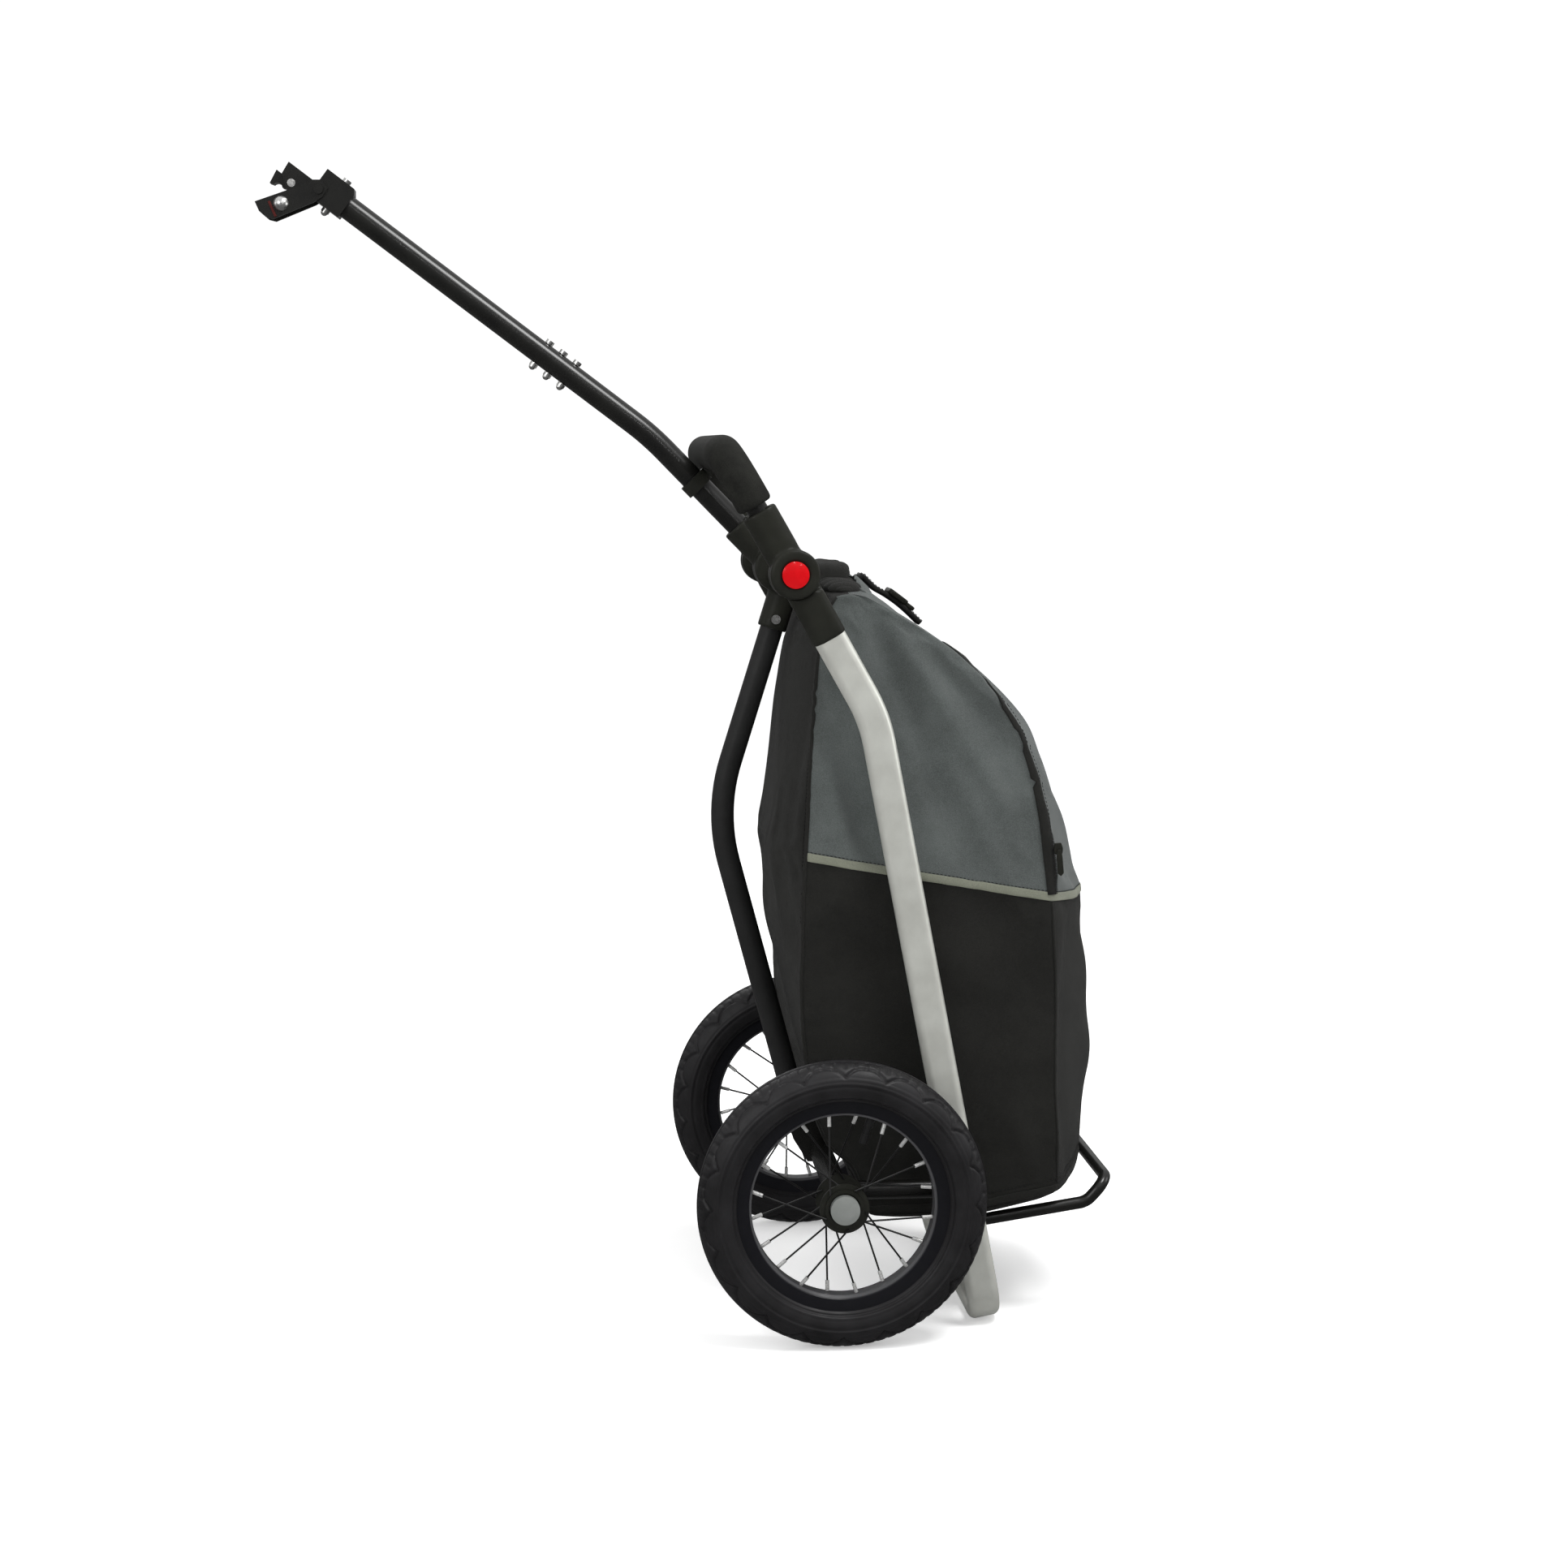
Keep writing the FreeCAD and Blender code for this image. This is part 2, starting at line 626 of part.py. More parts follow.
def strut_bracket():
    foot = at(*STRUT_FOOT)
    side = square_to(strut_down)
    outline = [foot - strut_down * 45 - side * 13, foot - strut_down * 45 + side * 13,
               at(14, AXLE_Z + 10), at(14, AXLE_Z - 12), at(-14, AXLE_Z - 12), at(-30, AXLE_Z + 14)]
    cheek = plate(outline, -15.6, -12.6).cut(across(0, AXLE_Z, -20, -10, TUBE25_R))
    hole = rod(foot - strut_down * 25 - V(0, 20, 0), foot - strut_down * 25 + V(0, 20, 0), STRUT_BOLT_R)
    return both_sides(cheek.cut(hole))


def drawbar_lower():
    tube = bent_pipe([JOINT + drawbar_low * DRAWBAR_START, DRAWBAR_BEND, SPLICE], [DRAWBAR_BEND_R],
                     TUBE25_R, TUBE25_R - THIN_WALL)
    return tube.cut(splice_bolts())


def drawbar_upper():
    tube = pipe(SPLICE, DRAWBAR_END, TUBE25_R, TUBE25_R - THIN_WALL)
    return tube.cut(splice_bolts()).cut(sleeve_bolt())


def splice_sleeve():
    half = drawbar_high * SPLICE_SLEEVE_HALF
    return pipe(SPLICE - half, SPLICE + half, TUBE25_R - THIN_WALL, 8.5).cut(splice_bolts())


def cross_bolt(point, head_at, nut_at):
    """Bolt square to the upper drawbar: round head above, domed nut below."""
    shank = rod(point - drawbar_up * nut_at, point + drawbar_up * head_at, 2.5)
    head = rod(point + drawbar_up * head_at, point + drawbar_up * (head_at + 4), 4.8)
    nut = rod(point - drawbar_up * (nut_at + 4), point - drawbar_up * nut_at, 4.6)
    nose = Part.makeSphere(3.8, point - drawbar_up * (nut_at + 4))
    return shank.fuse([head, nut, nose]).removeSplitter()


def splice_bolts():
    """Three bolts through the splice, one on the lower tube and two on the upper one."""
    seat = TUBE25_R + 0.2
    places = [SPLICE + drawbar_high * (SPLICE_BOLT_STEP * k) for k in (-0.5, 0.5, 1.5)]
    return group([cross_bolt(place, seat, seat) for place in places])


def rest_collar():
    return pipe(JOINT + drawbar_low * COLLAR_AT[0], JOINT + drawbar_low * COLLAR_AT[1], COLLAR_R, TUBE25_R)


# ---------------------------------------------------------------------------
# Hitch: (along, up) is measured from the drawbar's end
# ---------------------------------------------------------------------------
def hitch_point(along, up, y=0.0):
    return DRAWBAR_END + drawbar_high * along + drawbar_up * up + V(0, y, 0)


def hitch_outline(*points):
    return [hitch_point(along, up) for along, up in points]


TONGUE_TIP = hitch_point(40.0, -29.0)
TONGUE_ROOT = hitch_point(22.6, -23.6)
TONGUE_DOWN = unit(square_to(TONGUE_ROOT - TONGUE_TIP)) * -1
SEAT = (TONGUE_TIP + TONGUE_ROOT) * 0.5 + TONGUE_DOWN * 1.8
JAW_PIVOT = hitch_point(-5.0, -4.0)
CLAMP_BOLT = hitch_point(17.0, -39.4)


def sleeve_bolt():
    return cross_bolt(hitch_point(-22.0, 0), SLEEVE_HIGH, -SLEEVE_LOW)


def hitch_sleeve():
    outline = hitch_outline((-SLEEVE_LENGTH, SLEEVE_LOW), (0, SLEEVE_LOW), (0, SLEEVE_HIGH), (-34, SLEEVE_HIGH),
                            (-SLEEVE_LENGTH, 13.5))
    bore = rod(hitch_point(-SLEEVE_LENGTH, 0), hitch_point(0, 0), TUBE25_R)
    return plate(outline, -HITCH_HALF, HITCH_HALF).cut(bore).cut(sleeve_bolt()).cut(jaw_pivot())


def hitch_body():
    outline = hitch_outline((0, 5), (6, 0.5), (36.3, 0.5), (35, -13.5), (22.6, -23.6), (8, -23.6), (0, SLEEVE_LOW))
    return plate(outline, -HITCH_HALF, HITCH_HALF).cut(tongue_bolt())


def clamp_tongue():
    outline = [hitch_point(35, -13.5), hitch_point(42.3, -13.5), TONGUE_TIP, TONGUE_ROOT]
    tongue = plate(outline, -TONGUE_HALF, TONGUE_HALF)
    seat = rod(SEAT - V(0, 20, 0), SEAT + V(0, 20, 0), SEAT_R)
    return tongue.cut(seat)


def tongue_bolt():
    """Sunk heads, so that the jaw's plates pass over them."""
    centre = hitch_point(21.5, -15.5)
    shank = rod(centre - V(0, HITCH_HALF, 0), centre + V(0, HITCH_HALF, 0), PIVOT_BOLT_R)
    heads = [rod(centre + V(0, sign * (HITCH_HALF - 2.6), 0), centre + V(0, sign * HITCH_HALF, 0), 4.2)
             for sign in (-1, 1)]
    return shank.fuse(heads).removeSplitter()


def hitch_bolts():
    return group([sleeve_bolt(), tongue_bolt()])


def jaw_pivot():
    outer = HITCH_HALF + JAW_PLATE + 0.6
    shank = rod(JAW_PIVOT - V(0, outer, 0), JAW_PIVOT + V(0, outer, 0), PIVOT_BOLT_R)
    heads = [rod(JAW_PIVOT + V(0, sign * outer, 0), JAW_PIVOT + V(0, sign * (outer + 3), 0), 5.0)
             for sign in (-1, 1)]
    return shank.fuse(heads).removeSplitter()


def jaw_pivot_bolt():
    """The pivot is held by its two heads; inside the sleeve it stops at the drawbar's tube."""
    return group(jaw_pivot().cut(rod(hitch_point(-60, 0), hitch_point(0, 0), TUBE25_R)).Solids)


def jaw_outline():
    return hitch_outline((40.0, -54.0), (30.5, -59.4), (21.0, -60.0), (14.0, -57.0), (-9.0, -18.0), (-13.0, -8.0),
                         (-12.0, 3.0), (-4.0, 5.0), (4.0, 1.0), (20.0, -24.0))


def jaw_plates():
    inner = HITCH_HALF + JAW_GAP
    hole = rod(JAW_PIVOT - V(0, 30, 0), JAW_PIVOT + V(0, 30, 0), PIVOT_BOLT_R + RUNNING_GAP)
    bolt_hole = rod(CLAMP_BOLT - V(0, 30, 0), CLAMP_BOLT + V(0, 30, 0), CLAMP_BOLT_R)
    side = plate(jaw_outline(), -inner - JAW_PLATE, -inner).cut(hole).cut(bolt_hole)
    return both_sides(side)


def clamp_bolt():
    """Domed nuts on both ends of the bolt that ties the jaw's plates together."""
    outer = HITCH_HALF + JAW_GAP + JAW_PLATE
    shank = rod(CLAMP_BOLT - V(0, outer, 0), CLAMP_BOLT + V(0, outer, 0), CLAMP_BOLT_R)
    domes = []
    for sign in (-1, 1):
        face = CLAMP_BOLT + V(0, sign * outer, 0)
        ball = Part.makeSphere(CLAMP_DOME_R, face - V(0, sign * 2.5, 0))
        keep = rod(face, face + V(0, sign * 9, 0), CLAMP_DOME_R + 0.5)
        domes.append(ball.common(keep))
    return shank.fuse(domes).removeSplitter()


def jaw_pad():
    inner = HITCH_HALF + JAW_GAP
    outline = hitch_outline((38.5, -54.0), (30.0, -58.4), (24.0, -58.8), (32.0, -46.0))
    return plate(outline, -inner, inner)


# ---------------------------------------------------------------------------
# Shelf
# ---------------------------------------------------------------------------
def shelf_rod_solid(radius, half_length):
    return across(SHELF_ROD[0], SHELF_ROD[1], -half_length, half_length, radius)


def shelf_pivot_rod():
    return shelf_rod_solid(SHELF_ROD_R, SHELF_ROD_HALF)


def shelf_bosses():
    boss = across(SHELF_ROD[0], SHELF_ROD[1], -SHELF_ROD_HALF, -(SHELF_Y + 16), 10.0)
    return both_sides(boss.cut(shelf_rod_solid(SHELF_ROD_R, SIDE_Y)))


def shelf_loop():
    rear = at(SHELF_ROD[0], SHELF_ROD[1], -SHELF_Y)
    knee = at(*SHELF_KNEE, -SHELF_Y)
    corner = at(*SHELF_CORNER, -SHELF_Y)
    points = [rear, knee, corner] + [V(p.x, -p.y, p.z) for p in (corner, knee, rear)]
    loop = bent_rod(points, [22, 18, 18, 22], SHELF_TUBE_R)
    clear_of_rod = across(SHELF_ROD[0] - 8, SHELF_ROD[1] - 1, -SIDE_Y, SIDE_Y, 8.0)
    return loop.cut(shelf_rod_solid(SHELF_ROD_R, SIDE_Y)).cut(clear_of_rod)


# ---------------------------------------------------------------------------
# Bag: simple closed solids
# ---------------------------------------------------------------------------
# height, back edge X, back middle X, front edge X, front middle X, half width
BAG_LEVELS = (
    (113.0, 36.0, 36.0, 234.0, 264.0, 160.0),
    (145.0, 27.0, 24.0, 240.0, 286.0, 164.0),
    (195.0, 16.0, 10.0, 240.0, 296.0, 168.0),
    (250.0, -16.0, -23.0, 235.0, 298.0, 169.0),
    (340.0, -40.0, -47.0, 234.0, 294.0, 169.0),
    (430.0, -34.0, -68.0, 229.0, 285.0, 169.0),
    (530.0, -28.0, -62.0, 219.0, 262.0, 168.0),
    (620.0, -24.0, -55.0, 198.0, 228.0, 164.0),
    (700.0, -19.0, -46.0, 127.0, 153.0, 157.0),
    (750.0, -14.0, -27.0, 76.0, 90.0, 150.0),
    (776.0, 0.0, -12.0, 34.0, 42.0, 144.0),
)


def bag_section(z, back_edge, back_middle, front_edge, front_middle, half):
    """Level outline of the bag: flat sides, a bowed front and a back that is bowed or flat."""
    left_back = at(back_edge, z, -half)
    left_front = at(front_edge, z, -half)
    right_front = at(front_edge, z, half)
    right_back = at(back_edge, z, half)
    left = Part.LineSegment(left_back, left_front).toShape()
    front = Part.Arc(left_front, at(front_middle, z), right_front).toShape()
    right = Part.LineSegment(right_front, right_back).toShape()
    if back_middle < back_edge:
        back = Part.Arc(right_back, at(back_middle, z), left_back).toShape()
    else:
        back = Part.LineSegment(right_back, left_back).toShape()
    return Part.Wire([left, front, right, back])


def bag_bottom(y0, y1, thickness, lift):
    low = lift - thickness
    outline = [at(30, 113 + low), at(150, 116.5 + low), at(330, 156 + low)]
    outline += [at(330, 156 + lift), at(150, 116.5 + lift), at(30, 113 + lift)]
    return plate(outline, y0, y1)


def bag_body():
    body = Part.makeLoft([bag_section(*level) for level in BAG_LEVELS], True, True)
    return body.cut(bag_bottom(-200, 200, 60, 0))


def bag_base():
    board = bag_bottom(-140, 140, 2.8, 0)
    keep = Part.makeBox(180, 400, 200, at(44, 60, -200))
    return board.common(keep)


def bag_hooks():
    """Flat plastic hooks over the cross tube, on tongues of the bag's stiff back."""
    y0, y1 = HOOK_Y
    rim_ring = at_joint(y0, y1, HOOK_R).cut(at_joint(y0, y1, CROSS_TUBE_R + 0.2))
    mouth = [(-20, -30), (9, -30), (9, -3), (-20, -3)]
    opening = plate([at(JOINT_X + x, JOINT_Z + z) for x, z in mouth], y0 - 6, y1 + 10)
    flat = [(CROSS_TUBE_R + 0.2, 2), (HOOK_R, 2), (26, -20), (20, -20)]
    tongue = plate([at(JOINT_X + x, JOINT_Z + z) for x, z in flat], y0, y1)
    hook = rim_ring.cut(opening).fuse(tongue).removeSplitter()
    hook = hook.cut(bag_body())
    return both_sides(max(hook.Solids, key=lambda solid: solid.Volume))


def carry_strap():
    """Padded carrying handle, arched over the bag's top from side to side."""
    points = [at(STRAP_X, z, y) for z, y in ((780, -66), (797, -54), (797, 54), (780, 66))]
    path = bent_path(points, [STRAP_BEND_R] * 2)
    profile = oval_wire(points[0], V(1, 0, 0), V(0, 1, 0), STRAP_WIDE, STRAP_THICK)
    return path.makePipeShell([profile], True, False)


# ---------------------------------------------------------------------------
# Assembly
# ---------------------------------------------------------------------------
wheel("left", same)
wheel("right", mirrored)
for side, place in (("left", same), ("right", mirrored)):
    add(side + "_release_button", place(release_button()))
    add(side + "_side_tube", place(side_tube()))
    add(side + "_lower_housing", place(lower_housing()))
    add(side + "_upper_housing", place(upper_housing()))
    add(side + "_red_button", place(red_button()))

for make in (axle_crossbar, axle_receivers, axle_pins, release_springs, foot_bar, foot_spigots, side_rails,
             pivot_pins, button_springs, cross_tube, handle_bar, foam_grip, central_hub, strut, strut_bolts,
             strut_bracket, drawbar_lower, drawbar_upper, splice_sleeve, splice_bolts, rest_collar, hitch_sleeve,
             hitch_body, clamp_tongue, hitch_bolts, jaw_plates, jaw_pivot_bolt, clamp_bolt, jaw_pad,
             shelf_loop, shelf_pivot_rod, shelf_bosses, bag_body, bag_base, bag_hooks, carry_strap):
    add(make.__name__, make())

os.makedirs("parts", exist_ok=True)
for name, shape in parts.items():
    shape.exportStep("parts/" + name + ".step")
    if not shape.isValid():
        print("not valid:", name)
print(len(parts), "nodes written")
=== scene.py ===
"""The looks of a two-wheeled shopping trolley with a fabric bag and a bicycle drawbar."""
import json
import math

import bmesh
import bpy
from mathutils.bvhtree import BVHTree
from mathutils import Matrix, Vector, noise


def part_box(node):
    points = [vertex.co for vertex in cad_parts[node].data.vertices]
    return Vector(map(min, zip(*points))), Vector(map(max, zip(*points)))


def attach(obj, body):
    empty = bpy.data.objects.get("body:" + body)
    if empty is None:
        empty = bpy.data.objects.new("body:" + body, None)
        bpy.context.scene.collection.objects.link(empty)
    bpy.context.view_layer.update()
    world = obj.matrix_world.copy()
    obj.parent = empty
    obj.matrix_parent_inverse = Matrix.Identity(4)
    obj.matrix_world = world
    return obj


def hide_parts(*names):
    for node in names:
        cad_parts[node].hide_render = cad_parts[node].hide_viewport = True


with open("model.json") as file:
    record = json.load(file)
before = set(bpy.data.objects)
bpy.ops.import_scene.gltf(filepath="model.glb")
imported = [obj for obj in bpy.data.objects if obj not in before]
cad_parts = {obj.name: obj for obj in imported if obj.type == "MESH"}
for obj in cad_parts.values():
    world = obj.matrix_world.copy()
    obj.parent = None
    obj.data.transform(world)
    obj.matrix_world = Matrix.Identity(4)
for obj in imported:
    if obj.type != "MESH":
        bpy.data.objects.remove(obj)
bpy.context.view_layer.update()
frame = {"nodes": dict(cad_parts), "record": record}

MM = 0.001
PAPER_GLOW = 1.06
FLOOR_GLOW = 0.35
FLOOR_HALF = 40.0
# the photograph's viewpoint: lens in mm, place in metres with X from the axle, turns in degrees
LENS = 66.04
CAMERA_X, CAMERA_Y, CAMERA_Z = -0.320, -3.108, 0.920
CAMERA_TURN = -5.14
CAMERA_TILT = 90 - 6.65
CAMERA_ROLL = 0.23
# name, place, target, diameter and power in watts of each lamp
LAMPS = (
    ("key", (1.1, -1.1, 3.0), (-0.2, 0, 0.8), 1.1, 58),
    ("fill", (-2.0, -2.6, 1.8), (0, 0, 0.6), 2.0, 30),
    ("left_edge", (-2.6, -0.3, 1.4), (0.1, 0, 0.5), 1.2, 4),
    ("right_edge", (2.7, -0.3, 1.2), (0.2, 0, 0.5), 1.2, 10),
    ("back", (-0.8, 2.8, 2.6), (0, 0, 0.6), 1.6, 22),
    ("spark_high", (0.15, -2.7, 2.3), (-0.1, 0, 0.79), 0.1, 1.6),
    ("spark_right", (1.0, -2.6, 1.9), (-0.1, 0, 0.79), 0.1, 1.6),
)


# ---- Landmarks, read from the frame
def middle(part):
    low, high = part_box(part)
    return (low + high) / 2


AXLE = middle("axle_crossbar")


def at(x, z, y=0.0):
    """A point in metres from mm in front of the axle, mm of height and mm from the middle plane."""
    return Vector((AXLE.x + x * MM, y * MM, z * MM))


# ---- Camera, floor and light
def make_camera():
    data = bpy.data.cameras.new("camera")
    data.sensor_width = 36.0
    data.lens = LENS
    camera = bpy.data.objects.new("camera", data)
    bpy.context.scene.collection.objects.link(camera)
    turn = Matrix.Rotation(math.radians(CAMERA_TURN), 4, "Z")
    tilt = Matrix.Rotation(math.radians(CAMERA_TILT), 4, "X")
    roll = Matrix.Rotation(math.radians(CAMERA_ROLL), 4, "Z")
    stand = Matrix.Translation((AXLE.x + CAMERA_X, CAMERA_Y, CAMERA_Z))
    camera.matrix_world = stand @ turn @ tilt @ roll
    bpy.context.scene.camera = camera


def area_light(name, location, target, size, power):
    data = bpy.data.lights.new(name, "AREA")
    data.shape = "DISK"
    data.size = size
    data.energy = power
    light = bpy.data.objects.new(name, data)
    bpy.context.scene.collection.objects.link(light)
    light.location = location
    light.rotation_euler = (Vector(target) - Vector(location)).to_track_quat("-Z", "Y").to_euler()


def make_studio():
    """Bright paper behind and below; the light comes mostly from above, so that dark parts stay dark."""
    world = bpy.data.worlds.new("studio")
    bpy.context.scene.world = world
    world.use_nodes = True
    bpy.context.scene.view_settings.view_transform = "Standard"
    tree = world.node_tree
    paper = tree.nodes["Background"]
    paper.inputs["Color"].default_value = (1, 1, 1, 1)
    paper.inputs["Strength"].default_value = PAPER_GLOW
    sky = node(tree, "ShaderNodeBackground", Color=(1, 1, 1, 1))
    parts = node(tree, "ShaderNodeSeparateXYZ")
    tree.links.new(node(tree, "ShaderNodeTexCoord").outputs["Generated"], parts.inputs["Vector"])
    brightness = map_range(tree, parts.outputs["Z"], -0.1, 0.9, 0.15, 0.95)
    tree.links.new(brightness, sky.inputs["Strength"])
    seen = node(tree, "ShaderNodeLightPath")
    mix = node(tree, "ShaderNodeMixShader")
    tree.links.new(seen.outputs["Is Camera Ray"], mix.inputs["Fac"])
    tree.links.new(sky.outputs["Background"], mix.inputs[1])
    tree.links.new(paper.outputs["Background"], mix.inputs[2])
    tree.links.new(mix.outputs["Shader"], tree.nodes["World Output"].inputs["Surface"])

    for lamp in LAMPS:
        area_light(*lamp)
    corners = [(x * FLOOR_HALF, y * FLOOR_HALF, 0) for x, y in ((-1, -1), (1, -1), (1, 1), (-1, 1))]
    floor = mesh_object("floor", corners, [(0, 1, 2, 3)])
    material, tree, shader = plain("floor_paper", (0.9, 0.9, 0.9), 0.9, 0.0, 0.0)
    glow = node(tree, "ShaderNodeLightPath")
    tree.links.new(arithmetic(tree, "MULTIPLY", glow.outputs["Is Camera Ray"], FLOOR_GLOW),
                   shader.inputs["Emission Strength"])
    shader.inputs["Emission Color"].default_value = (1, 1, 1, 1)
    floor.data.materials.append(material)
    floor.visible_glossy = False


# ---- Mesh helpers
def mesh_object(name, points, faces, smooth=True):
    mesh = bpy.data.meshes.new(name)
    mesh.from_pydata([tuple(p) for p in points], [], faces)
    mesh.validate()
    mesh.update()
    for face in mesh.polygons:
        face.use_smooth = smooth
    piece = bpy.data.objects.new(name, mesh)
    bpy.context.scene.collection.objects.link(piece)
    return piece


def dress(piece, finish, body="root", replaced=()):
    """Gives a piece its finish, the body it rides on and the CAD nodes it stands for."""
    if finish:
        piece.data.materials.clear()
        piece.data.materials.append(materials[finish])
    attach(piece, body)
    if replaced:
        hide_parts(*replaced)


def apply_modifiers(piece):
    graph = bpy.context.evaluated_depsgraph_get()
    mesh = bpy.data.meshes.new_from_object(piece.evaluated_get(graph))
    old = piece.data
    piece.modifiers.clear()
    piece.data = mesh
    bpy.data.meshes.remove(old)


def subdivided(piece):
    """One level of subdivision, applied."""
    piece.modifiers.new("subdivide", "SUBSURF").levels = 1
    apply_modifiers(piece)


def face_outward(piece, weld=0.0):
    """Turns every face outward, after welding points that are nearer than a distance."""
    work = bmesh.new()
    work.from_mesh(piece.data)
    if weld:
        bmesh.ops.remove_doubles(work, verts=work.verts, dist=weld)
    bmesh.ops.recalc_face_normals(work, faces=work.faces)
    work.to_mesh(piece.data)
    work.free()


def grid_faces(rows, columns, close_rows=False, close_columns=False):
    """Quads over a grid whose point (i, j) has index i * columns + j."""
    faces = []
    for i in range(rows if close_rows else rows - 1):
        for j in range(columns if close_columns else columns - 1):
            k, m = (i + 1) % rows, (j + 1) % columns
            faces.append((i * columns + j, i * columns + m, k * columns + m, k * columns + j))
    return faces


def hermite(table, x, column):
    """Smooth value of a table's column at x; the table is sorted by its first column."""
    if x <= table[0][0]:
        return table[0][column]
    if x >= table[-1][0]:
        return table[-1][column]
    i = max(k for k in range(len(table) - 1) if table[k][0] <= x)

    def slope(k):
        if k in (0, len(table) - 1):
            return chord(min(k, len(table) - 2))
        before, after = chord(k - 1), chord(k)
        return 0.0 if before * after <= 0 else 2 * before * after / (before + after)

    def chord(k):
        return (table[k + 1][column] - table[k][column]) / (table[k + 1][0] - table[k][0])

    run = table[i + 1][0] - table[i][0]
    t = (x - table[i][0]) / run
    return ((2 * t**3 - 3 * t**2 + 1) * table[i][column] + (t**3 - 2 * t**2 + t) * run * slope(i)
            + (3 * t**2 - 2 * t**3) * table[i + 1][column] + (t**3 - t**2) * run * slope(i + 1))


def smoothstep(low, high, x):
    t = min(1.0, max(0.0, (x - low) / (high - low)))
    return t * t * (3 - 2 * t)


def bump_at(x, centre, half_width):
    """A smooth hill of height 1 about a centre."""
    d = abs(x - centre) / half_width
    return 0.0 if d >= 1 else (1 - d * d) ** 2


def superellipse(count, wide, high, power):
    """Points (across, up) of a rounded section."""
    turns = [2 * math.pi * k / count for k in range(count)]

    def bulge(value):
        return math.copysign(abs(value) ** power, value)

    return [(bulge(math.cos(a)) * wide / 2, bulge(math.sin(a)) * high / 2) for a in turns]


def band(name, points, normals, width, thickness, lift=0.0, closed=False, crown=0.5, sides=12, skin=None):
    """Webbing or tape of rounded section along the points; given a skin's tree, it lies on that skin."""
    section = superellipse(sides, 2.0, 2.0, crown)
    verts = []
    count = len(points)
    for i in range(count):
        before = points[i - 1] if (i > 0 or closed) else points[0]
        after = points[(i + 1) % count] if (i < count - 1 or closed) else points[-1]
        along = (after - before).normalized()
        normal = (normals[i] - along * normals[i].dot(along)).normalized()
        across = normal.cross(along)
        wide = width(i / (count - 1)) if callable(width) else width
        for flat, high in section:
            spot, up = points[i] + across * (flat * wide / 2), normal
            if skin:
                spot, up = skin.find_nearest(spot)[:2]
            verts.append(spot + up * (lift + high * thickness / 2))
    faces = grid_faces(count, sides, close_rows=closed, close_columns=True)
    if not closed:
        faces += [tuple(range(sides))[::-1], tuple((count - 1) * sides + k for k in range(sides))]
    return mesh_object(name, verts, [tuple(reversed(f)) for f in faces])


def softened(name, part, voxel, passes, swell):
    """A smooth moulding from a copy of a CAD node, remeshed and relaxed so that edges become radii."""
    piece = bpy.data.objects.new(name, frame["nodes"][part].data.copy())
    bpy.context.scene.collection.objects.link(piece)
    remesh = piece.modifiers.new("remesh", "REMESH")
    remesh.mode = "VOXEL"
    remesh.voxel_size = voxel
    smooth = piece.modifiers.new("smooth", "SMOOTH")
    smooth.iterations = passes
    smooth.factor = 0.5
    grow = piece.modifiers.new("grow", "DISPLACE")
    grow.strength = swell
    grow.mid_level = 0.0
    apply_modifiers(piece)
    for face in piece.data.polygons:
        face.use_smooth = True
    return piece


# ---- Materials
def plain(name, colour, roughness, metallic=0.0, specular=0.5):
    material = bpy.data.materials.new(name)
    material.use_nodes = True
    tree = material.node_tree
    shader = tree.nodes["Principled BSDF"]
    shader.inputs["Base Color"].default_value = (*colour, 1)
    shader.inputs["Roughness"].default_value = roughness
    shader.inputs["Metallic"].default_value = metallic
    shader.inputs["Specular IOR Level"].default_value = specular
    return material, tree, shader


def node(tree, kind, **settings):
    made = tree.nodes.new(kind)
    for key, value in settings.items():
        if hasattr(made, key):
            setattr(made, key, value)
        else:
            made.inputs[key.replace("_", " ")].default_value = value
    return made


def place(tree):
    """Coordinates in metres, fixed to the piece."""
    return node(tree, "ShaderNodeTexCoord").outputs["Object"]


def speckle(tree, scale, detail=3.0, rough=0.55, stretch=None):
    """Noise from 0 to 1; scale is in cells per metre."""
    source = place(tree)
    if stretch:
        mapping = node(tree, "ShaderNodeMapping")
        mapping.inputs["Scale"].default_value = stretch
        tree.links.new(source, mapping.inputs["Vector"])
        source = mapping.outputs["Vector"]
    texture = node(tree, "ShaderNodeTexNoise", Scale=scale, Detail=detail, Roughness=rough)
    tree.links.new(source, texture.inputs["Vector"])
    return texture.outputs["Fac"]


def ramp(tree, value, stops):
    """Colour ramp over (position, colour) stops."""
    made = node(tree, "ShaderNodeValToRGB")
    elements = made.color_ramp.elements
    while len(elements) < len(stops):
        elements.new(0.5)
    for element, (position, colour) in zip(elements, stops):
        element.position = position
        element.color = (*colour, 1)
    tree.links.new(value, made.inputs["Fac"])
    return made.outputs["Color"]


def map_range(tree, value, from_low, from_high, to_low, to_high):
    made = node(tree, "ShaderNodeMapRange",
                From_Min=from_low, From_Max=from_high, To_Min=to_low, To_Max=to_high)
    tree.links.new(value, made.inputs["Value"])
    return made.outputs["Result"]


def roughen(tree, shader, value, low, high):
    """Roughness from low to high over the middle of a noise's range."""
    tree.links.new(map_range(tree, value, 0.3, 0.7, low, high), shader.inputs["Roughness"])


def arithmetic(tree, operation, a, b):
    made = node(tree, "ShaderNodeMath", operation=operation)
    for socket, value in zip(made.inputs, (a, b)):
        if isinstance(value, (int, float)):
            socket.default_value = value
        else:
            tree.links.new(value, socket)
    return made.outputs["Value"]


